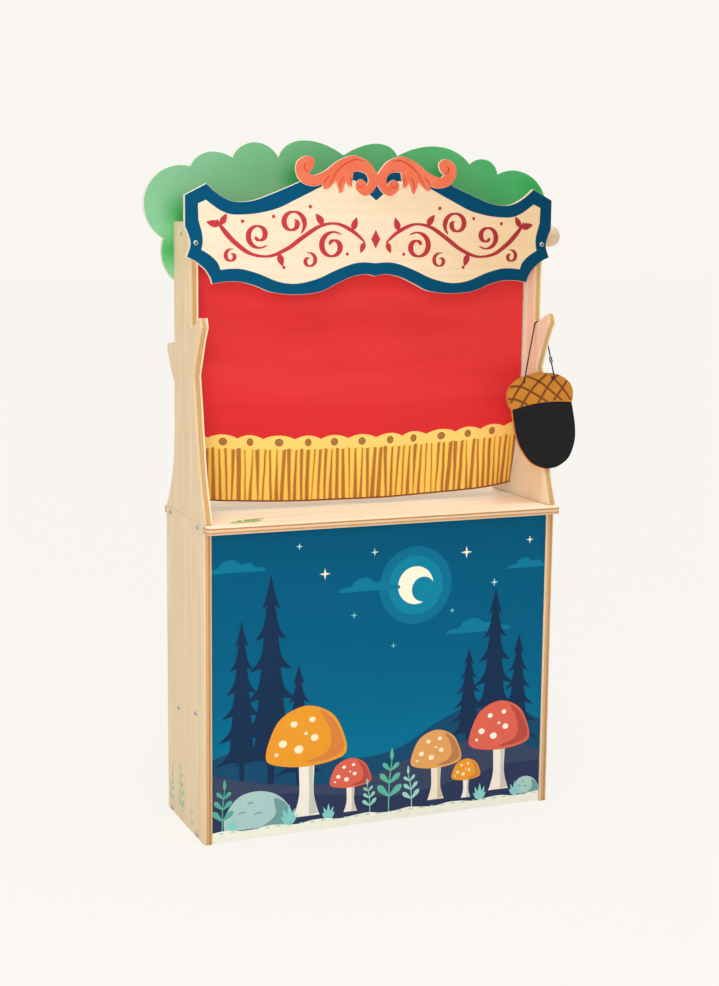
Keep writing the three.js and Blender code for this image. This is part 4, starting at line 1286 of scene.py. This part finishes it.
# Right half of the bare field inside the name board's border, in millimetres
FIELD_LEGS = [
    [(0, 1045.5), (25, 1047), (48, 1043.5), (81, 1031.5), (110, 1018.8), (140, 1010.8),
     (165, 1009), (192, 1013.8), (226, 1027), (256, 1035), (278, 1035.8), (297, 1034)],
    [(297, 1034), (302, 1046), (314, 1058), (332, 1069)],
    [(332, 1069), (329.5, 1082), (330.5, 1097), (337, 1120)],
    [(337, 1120), (338, 1149)],
    [(338, 1149), (323.5, 1155.5)],
    [(323.5, 1155.5), (305, 1142.5), (293, 1136), (276, 1131), (252, 1131), (224, 1134),
     (190, 1142.5), (155, 1158.5), (120, 1175.5), (107, 1182)],
    [(107, 1182), (80, 1193)],
    [(80, 1193), (43, 1194)],
    [(43, 1194), (0, 1158.5)],
]
BOLT_HEIGHT = 1080.6
BOLT_RADIUS = 2.75
VINE_WIDTH = 11
# A running vine on the right half of the field, its curls as centre, radius, first angle, sweep
# and width, its leaves as place, length, width and turn, and its berries
VINE = [(20, 1082), (44, 1102), (76, 1116), (108, 1112), (140, 1093), (172, 1071), (206, 1058),
        (240, 1062), (268, 1080), (290, 1102), (304, 1122)]
CURLS = [
    (84, 1076, 27, 2.25, -8.2, 10), (162, 1117, 25, -2.3, -8.2, 9.5),
    (226, 1095, 24, -2.3, 8.2, 9.5), (277, 1058, 13, 1.9, -6.8, 7), (130, 1050, 15, 1.2, 7.0, 7),
]
VINE_LEAVES = [
    (46, 1104, 26, 12, 1.9), (102, 1114, 26, 12, 0.9), (188, 1063, 25, 12, -1.9),
    (297, 1112, 27, 12, 0.2), (297, 1112, 24, 11, 2.1), (22, 1084, 22, 10, -1.2),
]
VINE_BERRIES = [(128, 1146, 3.4), (198, 1128, 3.2), (256, 1119, 3.2), (178, 1038, 3),
                (56, 1062, 3)]
VINE_DIAMOND = [(0, 1072), (9, 1089), (0, 1106), (-9, 1089)]


def curl_line(x, z, radius, start, sweep):
    """A curl that winds in to about a quarter of its radius."""
    line = []
    for share in [i / 14 for i in range(15)]:
        reach, angle = radius * (1 - 0.74 * share), start + sweep * share
        line.append((x + reach * math.cos(angle), z + reach * math.sin(angle)))
    return line


def print_sign(sign):
    """The blue border between the board's edge and the bare field, and a brushed flourish."""
    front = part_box("sign_board")[0].y
    sheet = Print(lambda a, b, off: (a * MM, front - off * MM, b * MM))
    right = legs_outline(FIELD_LEGS) + FIELD_LEGS[-1][-1:]
    field = right + mirrored(right)[1:-1]
    edge = [(p.x / MM, p.z / MM) for p in rim(sign, (0, -1, 0))[0]]
    bolts = [circle(side * POST_CENTRE, BOLT_HEIGHT, BOLT_RADIUS) for side in (-1, 1)]
    sheet.lay(SIGN_BLUE, edge, field, *bolts)
    for flip in (False, True):
        sheet.lay(SIGN_RED, brushed(moved(VINE, flip=flip), VINE_WIDTH))
        for *curl, width in CURLS:
            line = moved(curl_line(*curl), flip=flip)
            sheet.lay(SIGN_RED, brushed(line, width), level=1)
        buds = [leaf(*bud) for bud in VINE_LEAVES]
        for shape in buds + [circle(*berry, 16) for berry in VINE_BERRIES]:
            sheet.lay(SIGN_RED, moved(shape, flip=flip), level=2)
    sheet.lay(SIGN_RED, VINE_DIAMOND)
    sheet.settle("name_board_print", "stand", "sign_paint", "sign_ink")


CREST_VEIN = "#DC4534"
# Veins on the right half of the crest, laid as darker strokes, from its own foot and middle
CREST_VEINS = [
    ([(28, 62), (44, 64), (62, 57), (78, 44), (88, 34)], 2.6),
    ([(92, 36), (100, 28), (106, 18)], 2.2), ([(66, 34), (72, 24), (74, 12)], 2.4),
    ([(52, 34), (52, 24), (50, 14)], 2.2), ([(80, 38), (90, 26), (95, 16)], 2.0),
    ([(137, 56), (142, 52), (140, 44), (133, 42)], 2.4),
    ([(27, 22), (30, 16), (36, 16), (38, 22)], 2.4),
]


def print_crest():
    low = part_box("scroll_crest")[0]
    sheet = Print(lambda a, b, off: (a * MM, low.y - off * MM, low.z + b * MM))
    for flip in (False, True):
        for points, width in CREST_VEINS:
            sheet.lay(CREST_VEIN, stroke(moved(points, flip=flip), width, start=0.15, end=0.15))
    sheet.settle("crest_veins", "stand", "coral_paint", "sign_ink")


CAP_BROWN = "#C27F2D"
CAP_LINE = "#7C4326"
CAP_STROKE = 4.4
CAP_HOLE_RADIUS = 3.1
CAP_FOOT = 27.75
CAP_ARCH = 6.5
# Lines that cross over the cap, from the middle of the board
CAP_LATTICE = [
    [(-66, 41), (-46.9, 63.5), (-32.4, 77)],
    [(-47, 29.5), (-21.2, 57.6), (1.1, 75.2), (20.1, 87)],
    [(-8, 34), (16.7, 61.4), (32.4, 75.8), (45, 83)],
    [(26, 35), (48, 55.8), (62, 70)],
    [(-71, 49.5), (-52.5, 45.5), (-30, 33.5)],
    [(-63, 71.5), (-41.3, 70), (-21.2, 58.7), (13, 34.5)],
    [(-24, 88), (-1.1, 76.6), (16.7, 61.4), (45, 33.5)],
    [(29, 82), (45.8, 62.3), (56, 46.4), (64, 32)],
]


def acorn_flat(place):
    """A point on the chalkboard's front as across and up from its middle, in millimetres."""
    hung = hanger_turn.transposed() @ (place - notch) / MM
    x = hung.x - POST_CENTRE + ACORN_SIDEWAYS
    z = hung.z + ACORN_DROP + ACORN_HEIGHT / 2
    sin, cos = math.sin(ACORN_ROLL), math.cos(ACORN_ROLL)
    return x * cos + z * sin, z * cos - x * sin


def print_acorn(acorn):
    """The brown cap with its lattice, above the black that is written on."""
    front = hanger_turn @ Vector((0, -1, 0))
    edge = [acorn_flat(p) for p in rim(acorn, front)[0]]
    above = [b > CAP_FOOT for a, b in edge]
    first = next(i for i in range(len(edge)) if above[i] and not above[i - 1])
    cap = []
    while above[first % len(edge)]:
        cap.append(edge[first % len(edge)])
        first += 1
    start, end = cap[-1][0], cap[0][0]
    for step in range(1, 12):
        a = start + (end - start) * step / 12
        cap.append((a, CAP_FOOT + CAP_ARCH * (1 - (a / end) ** 2)))
    hole_up = ACORN_HEIGHT / 2 - ACORN_HOLE_INSET
    holes = [circle(side * ACORN_HOLE_SPACING / 2, hole_up, CAP_HOLE_RADIUS)
             for side in (-1, 1)]
    sheet = Print(acorn_place)
    sheet.lay(CAP_BROWN, cap, *holes)
    for line in CAP_LATTICE:
        sheet.lay(CAP_LINE, stroke(line, CAP_STROKE, start=0.9, end=0.9), level=1)
    sheet.settle("acorn_cap_print", "chalkboard", "chalkboard_paint")


# Printed landscape on the front panel, in millimetres on the panel

PANEL_HALF = 334.4
PANEL_FOOT = 2.4
FAR_RIDGE = [(-PANEL_HALF, 158), (-262, 176), (-170, 168), (-70, 132), (30, 140), (120, 186),
             (206, 214), (276, 196), (PANEL_HALF, 166)]
NEAR_HILL = [(-PANEL_HALF, 128), (-240, 104), (-130, 88), (-20, 96), (84, 126), (180, 140),
             (262, 128), (PANEL_HALF, 106)]
MEADOW = [(-PANEL_HALF, 66), (-210, 80), (-90, 64), (30, 48), (150, 62), (250, 82),
          (PANEL_HALF, 84)]
# Firs: place across, foot, height and width
FIRS = [(-278, 112, 300, 108), (-222, 100, 392, 146), (-168, 90, 232, 100),
        (178, 132, 190, 90), (232, 120, 316, 122), (284, 106, 236, 98)]
# Stars with four points: place, reach and colour
STARS = [(-118, 486, 11, "#F6EFD6"), (-20, 520, 8, "#BFE3E0"), (-60, 404, 7, "#7FC7CB"),
         (168, 508, 12, "#F6EFD6"), (228, 446, 8, "#BFE3E0"), (140, 398, 6, "#7FC7CB"),
         (-168, 540, 7, "#BFE3E0"), (302, 524, 8, "#F6EFD6"), (20, 340, 6, "#7FC7CB")]
# Clouds: place, half width and height
CLOUDS = [(-30, 448, 62, 26), (196, 352, 70, 28), (-290, 500, 56, 24), (300, 470, 46, 20)]
GLOW_INKS = [(74, "#0C6F92"), (56, "#0F82A0")]
MOON_INK = "#FBF3D8"
CLOUD_INK = "#0D7797"
RIDGE_INK = "#14496B"
FIR_INK = "#16304F"
HILL_INK = "#3A4560"
MEADOW_INK = "#2D3756"
TUFT_INK = "#86CBC6"
STONE_INK = "#A7C8C3"
STONE_SHADE = "#6E9C9B"
VERGE_INK = "#EFEEDD"
DASH_INK = "#9CD0C2"
# Moon: its place, its radius and the turn of its horns
MOON_PLACE = (64, 452)
MOON_RADIUS = 36
MOON_TURN = -0.5
# Mushrooms: place, foot, height, width and inks for cap, its shade, stem, its shade and dots
ORANGE_CAP = ("#E99A2C", "#D8803F", "#EFEADB", "#C9C8B8", "#FBE9C4")
TAN_CAP = ("#E0A05C", "#BA7A4B", "#EFE2C8", "#CDBB9B", "#F7E3C2")
CORAL_CAP = ("#DC6450", "#B84C42", "#F1E6D6", "#CFC3B4", "#F8EFDD")
MUSHROOMS = [(-152, 30, 212, 156, ORANGE_CAP), (-64, 28, 104, 82, CORAL_CAP),
             (112, 30, 138, 104, TAN_CAP), (246, 34, 178, 128, CORAL_CAP),
             (176, 26, 78, 60, ORANGE_CAP)]
GROUND = 20
# Verge along the foot: how high its edge waves, and how its dashes are set out
VERGE_WAVE = 2.4
DASH_COUNT = 30
DASH_START = -322
DASH_PITCH = 22.2
DASH_FOOT = 17
# Boulders: place, half width and height
BOULDERS = [(-246, 66, 70), (306, 28, 34)]
# Sprigs: place, foot, height, lean, colour and level
SPRIGS = [(14, 22, 112, 6, "#5FB39B", 10), (62, 20, 78, -8, "#9AD2C4", 10),
          (-24, 20, 64, -6, "#8FCDBD", 11), (-316, 20, 92, 5, "#57A895", 10)]
# Tufts: place and height. Their blades: turn and share of the height.
TUFTS = [(-186, 40), (-108, 32), (206, 34), (282, 30), (-296, 30)]
BLADES = [(2.3, 0.62), (1.95, 0.86), (1.57, 1.0), (1.2, 0.84), (0.85, 0.6)]

# Outlines as shares of a width and a height
STALK = [(-0.17, 0), (-0.14, 0.1), (-0.09, 0.4), (-0.085, 1), (0.085, 1), (0.09, 0.4),
         (0.14, 0.1), (0.17, 0)]
STALK_SHADE = [(0.03, 0.02), (0.035, 0.4), (0.03, 0.96), (0.08, 0.96), (0.085, 0.4),
               (0.15, 0.03)]
CAP_DOME = [(-1, 0), (-0.95, 0.36), (-0.64, 0.8), (0, 1), (0.64, 0.8), (0.95, 0.36), (1, 0),
            (0.6, -0.14), (0, -0.19), (-0.6, -0.14)]
CAP_DUSK = [(0.93, 0.06), (0.9, 0.34), (0.66, 0.7), (0.34, 0.88), (0.56, 0.56), (0.62, 0.22),
            (0.44, 0.02), (0.0, -0.1), (0.56, -0.09)]
CAP_DOTS = [(-0.6, 0.3, 0.09), (-0.32, 0.66, 0.075), (-0.2, 0.16, 0.1), (0.14, 0.72, 0.07),
            (0.2, 0.36, 0.085), (-0.02, 0.46, 0.04), (-0.76, 0.1, 0.045)]
BOULDER_DOME = [(-1, 0), (-0.98, 0.4), (-0.6, 0.88), (0, 1), (0.58, 0.82), (0.96, 0.4), (1, 0)]
BOULDER_DUSK = [(0.1, 0.02), (0.5, 0.3), (0.46, 0.74), (0.76, 0.62), (0.93, 0.36), (0.97, 0.02)]
BOULDER_MARKS = [(-0.62, 0.42, 0.26), (-0.34, 0.66, 0.2), (-0.16, 0.36, 0.3)]
CLOUD_TOP = [(1, 0), (0.97, 0.24), (0.68, 0.36), (0.5, 0.7), (0.2, 0.62), (-0.1, 1),
             (-0.46, 0.78), (-0.58, 0.4), (-0.88, 0.3), (-1, 0)]
ROUND_LEAF = [(0, 0), (0.35, 0.13), (0.75, 0.19), (1, 0), (0.75, -0.19), (0.35, -0.13)]
TIP_LEAF = [(0, 0), (0.4, 0.16), (1, 0), (0.4, -0.16)]


def band(top, foot=PANEL_FOOT):
    """A strip of ground whose upper edge is a smooth line."""
    return spline(top, 10) + [(top[-1][0], foot), (top[0][0], foot)]


def fir(x, foot, height, width):
    """A fir in drooping tiers, each wider than the one above."""
    tiers = 6
    right = [(0, height)]
    inner = 0
    for tier in range(tiers):
        top = height * (1 - 0.88 * tier / tiers)
        low = height * (1 - 0.88 * (tier + 1) / tiers)
        outer = width / 2 * ((tier + 1) / tiers) ** 0.8
        bough = [(inner, top), (outer * 0.5, (top + 2 * low) / 3), (outer, low - 6)]
        inner = outer * 0.45
        right += [*spline(bough, 4)[1:], (inner, low)]
    right += [(width * 0.045, height * 0.12), (width * 0.045, 0)]
    return moved(right + mirrored(right[1:]), x, foot)


def arc(radius, start, end, steps, x=0):
    """Points on a round about x, from one angle to another."""
    angles = [start + (end - start) * i / steps for i in range(steps + 1)]
    return [(x + radius * math.cos(a), radius * math.sin(a)) for a in angles]


def crescent(x, z, radius, turn):
    """A crescent moon, its horns towards the turn."""
    opening = 0.62
    outer = arc(radius, opening, 2 * math.pi - opening, 48)
    (tip_x, tip_z), middle = outer[0], radius * 0.5
    tip = math.atan2(tip_z, tip_x - middle)
    inner = arc(math.hypot(tip_x - middle, tip_z), 2 * math.pi - tip, tip, 40, middle)
    return moved(outer + inner[1:-1], x, z, turn)


def star(x, z, reach):
    """A star with four points."""
    corners = []
    for i in range(8):
        radius = reach if i % 2 == 0 else reach * 0.26
        corners.append((radius * math.sin(math.pi * i / 4), radius * math.cos(math.pi * i / 4)))
    return moved(corners, x, z)


def lay_mushroom(sheet, x, foot, height, width, inks):
    """A mushroom with a domed, dotted cap and a stem that widens at its foot."""
    cap, shade_ink, stem, stem_shade, dot = inks
    rise = height * 0.46
    brim = foot + height - rise
    for outline, ink, level in ((STALK, stem, 6), (STALK_SHADE, stem_shade, 7)):
        grown = swelled(outline, width, height - rise, 5)
        sheet.lay(ink, moved(grown, x, foot + 0.5), level=level)
    for outline, steps, ink, level in ((CAP_DOME, 7, cap, 8), (CAP_DUSK, 6, shade_ink, 9)):
        domed = swelled(outline, width / 2, rise, steps, closed=True)
        sheet.lay(ink, moved(domed, x, brim), level=level)
    for a, b, size in CAP_DOTS:
        spot = ellipse(x + a * width / 2, brim + b * rise, size * width / 2 * 1.15,
                       size * width / 2, count=18)
        sheet.lay(dot, spot, level=9)


def lay_sprig(sheet, x, foot, height, lean, colour, level=0, pairs=3, size=0.3):
    """An upright stem with pairs of round-tipped leaves and a pointed one at its top."""
    stem = [(x, foot), (x + lean * 0.25, foot + height * 0.5), (x + lean, foot + height * 0.86)]
    sheet.lay(colour, stroke(stem, max(height * 0.022, 1.4), start=1.0, end=0.5), level=level)
    line = spline(stem, 12)
    for pair in range(pairs):
        base = line[int(len(line) * (0.24 + 0.7 * pair / pairs))]
        length = height * size * (1 - 0.16 * pair)
        blade = swelled(ROUND_LEAF, length, length, 5, closed=True)
        for side in (-1, 1):
            turn = math.pi / 2 - side * 0.82 - lean / height
            sheet.lay(colour, moved(blade, *base, turn), level=level)
    length = height * size * 0.72
    blade = swelled(TIP_LEAF, length, length, closed=True)
    sheet.lay(colour, moved(blade, *line[-1], math.pi / 2), level=level)


def lay_boulder(sheet, x, half, height):
    """A rounded stone with its shaded side and a few marks."""
    for outline, ink, level in ((BOULDER_DOME, STONE_INK, 10), (BOULDER_DUSK, STONE_SHADE, 11)):
        sheet.lay(ink, moved(swelled(outline, half, height), x, GROUND), level=level)
    for a, b, length in BOULDER_MARKS:
        mark = [(0, 0), (length * half * 0.5, 0.05 * height), (length * half, 0.03 * height)]
        mark = moved(mark, x + a * half, GROUND + b * height)
        sheet.lay(STONE_SHADE, stroke(mark, 2.4), level=11)


def print_panel():
    """A night landscape in flat inks: ridges, firs, a moon, clouds, mushrooms and plants."""
    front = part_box("front_panel")[0].y
    sheet = Print(lambda a, b, off: (a * MM, front - off * MM, b * MM))
    for level, (radius, ink) in enumerate(GLOW_INKS):
        sheet.lay(ink, circle(*MOON_PLACE, radius, 48), level=level)
    sheet.lay(MOON_INK, crescent(*MOON_PLACE, MOON_RADIUS, MOON_TURN), level=2)
    for x, z, half, height in CLOUDS:
        sheet.lay(CLOUD_INK, moved(swelled(CLOUD_TOP, half, height, 5), x, z), level=2)
    for x, z, reach, ink in STARS:
        sheet.lay(ink, star(x, z, reach), level=3)
    sheet.lay(RIDGE_INK, band(FAR_RIDGE), level=2)
    for tree in FIRS:
        sheet.lay(FIR_INK, fir(*tree), level=3)
    sheet.lay(HILL_INK, band(NEAR_HILL), level=4)
    sheet.lay(MEADOW_INK, band(MEADOW), level=5)
    for mushroom in MUSHROOMS:
        lay_mushroom(sheet, *mushroom)
    for boulder in BOULDERS:
        lay_boulder(sheet, *boulder)
    for sprig in SPRIGS:
        lay_sprig(sheet, *sprig)
    for x, height in TUFTS:
        for turn, share in BLADES:
            sheet.lay(TUFT_INK, leaf(x, 18, height * share, height * 0.2, turn), level=11)
    verge = [(PANEL_HALF * (i / 12 - 1), GROUND + VERGE_WAVE * math.sin(i * 1.9))
             for i in range(25)]
    sheet.lay(VERGE_INK, band(verge), level=12)
    for i in range(DASH_COUNT):
        x = DASH_START + DASH_PITCH * i
        dash = [(x, DASH_FOOT), (x + 4, DASH_FOOT + 1 + i % 2), (x + 9, DASH_FOOT)]
        sheet.lay(DASH_INK, stroke(dash, 2.2, start=0.4, end=0.4), level=13)
    sheet.settle("panel_landscape", "stand", "printed_panel")


# Side sprigs: place, foot, height, lean, colour, level, pairs of leaves and size of a leaf
SIDE_SPRIGS = [(92, 1, 92, -6, "#A3CDB6", 0, 4, 0.2), (28, 1, 112, 3, "#9CCBB0", 0, 4, 0.22),
               (-38, 1, 56, 4, "#B4D0B6", 0, 2, 0.26)]


def print_side():
    """Three pale sprigs low on the left side panel, towards its rear."""
    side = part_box("side_panel_left")[0].x
    sheet = Print(lambda a, b, off: (side - off * MM, a * MM, b * MM))
    for sprig in SIDE_SPRIGS:
        lay_sprig(sheet, *sprig)
    sheet.settle("side_panel_sprigs", "stand", "birch_plywood")


# Counter's spray: its stem, and its leaves' place along the stem and length
STEM_GREEN = "#6FA04E"
SPRAY_GREEN = "#83AF5C"
SPRAY_STEM = [(-301, -112), (-280, -104), (-256, -97), (-236, -84)]
SPRAY_LEAVES = [(0.12, 15), (0.3, 22), (0.5, 25), (0.7, 22), (0.86, 15)]


def print_counter():
    """A small green spray of leaves on the counter's left end."""
    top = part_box("counter_top")[1].z
    sheet = Print(lambda a, b, off: (a * MM, b * MM, top + off * MM))
    sheet.lay(STEM_GREEN, stroke(SPRAY_STEM, 2.4, start=0.5), level=1)
    for share, length in SPRAY_LEAVES:
        base = spline(SPRAY_STEM, 12)[int(36 * share)]
        for turn in (0.95, -0.55):
            sheet.lay(SPRAY_GREEN, leaf(*base, length, length * 0.46, turn))
    sheet.lay(SPRAY_GREEN, leaf(*SPRAY_STEM[-1], 15, 7, 0.4))
    sheet.settle("counter_spray", "stand", "counter_plywood")


# Nodes that are left as they are, with their finish
PLAIN_NODES = {
    "dowel_front_left": "beech", "dowel_front_right": "beech", "dowel_rear_left": "beech",
    "dowel_rear_right": "beech", "roller_pin": "zinc",
}

make_camera()
materials = make_materials()
make_cord()
pieces = {row[0]: board(*row) for row in BOARDS}
print_sign(pieces["sign_board"])
print_crest()
print_acorn(pieces["acorn_board"])
print_panel()
print_side()
print_counter()
make_curtain()
make_wound_cloth()
make_roller()
make_knob()
make_screws()
for node, finish in PLAIN_NODES.items():
    nodes[node].data.materials.clear()
    nodes[node].data.materials.append(materials[finish])
make_world()
make_lamps()
make_floor()

bpy.context.scene.view_settings.view_transform = "Standard"
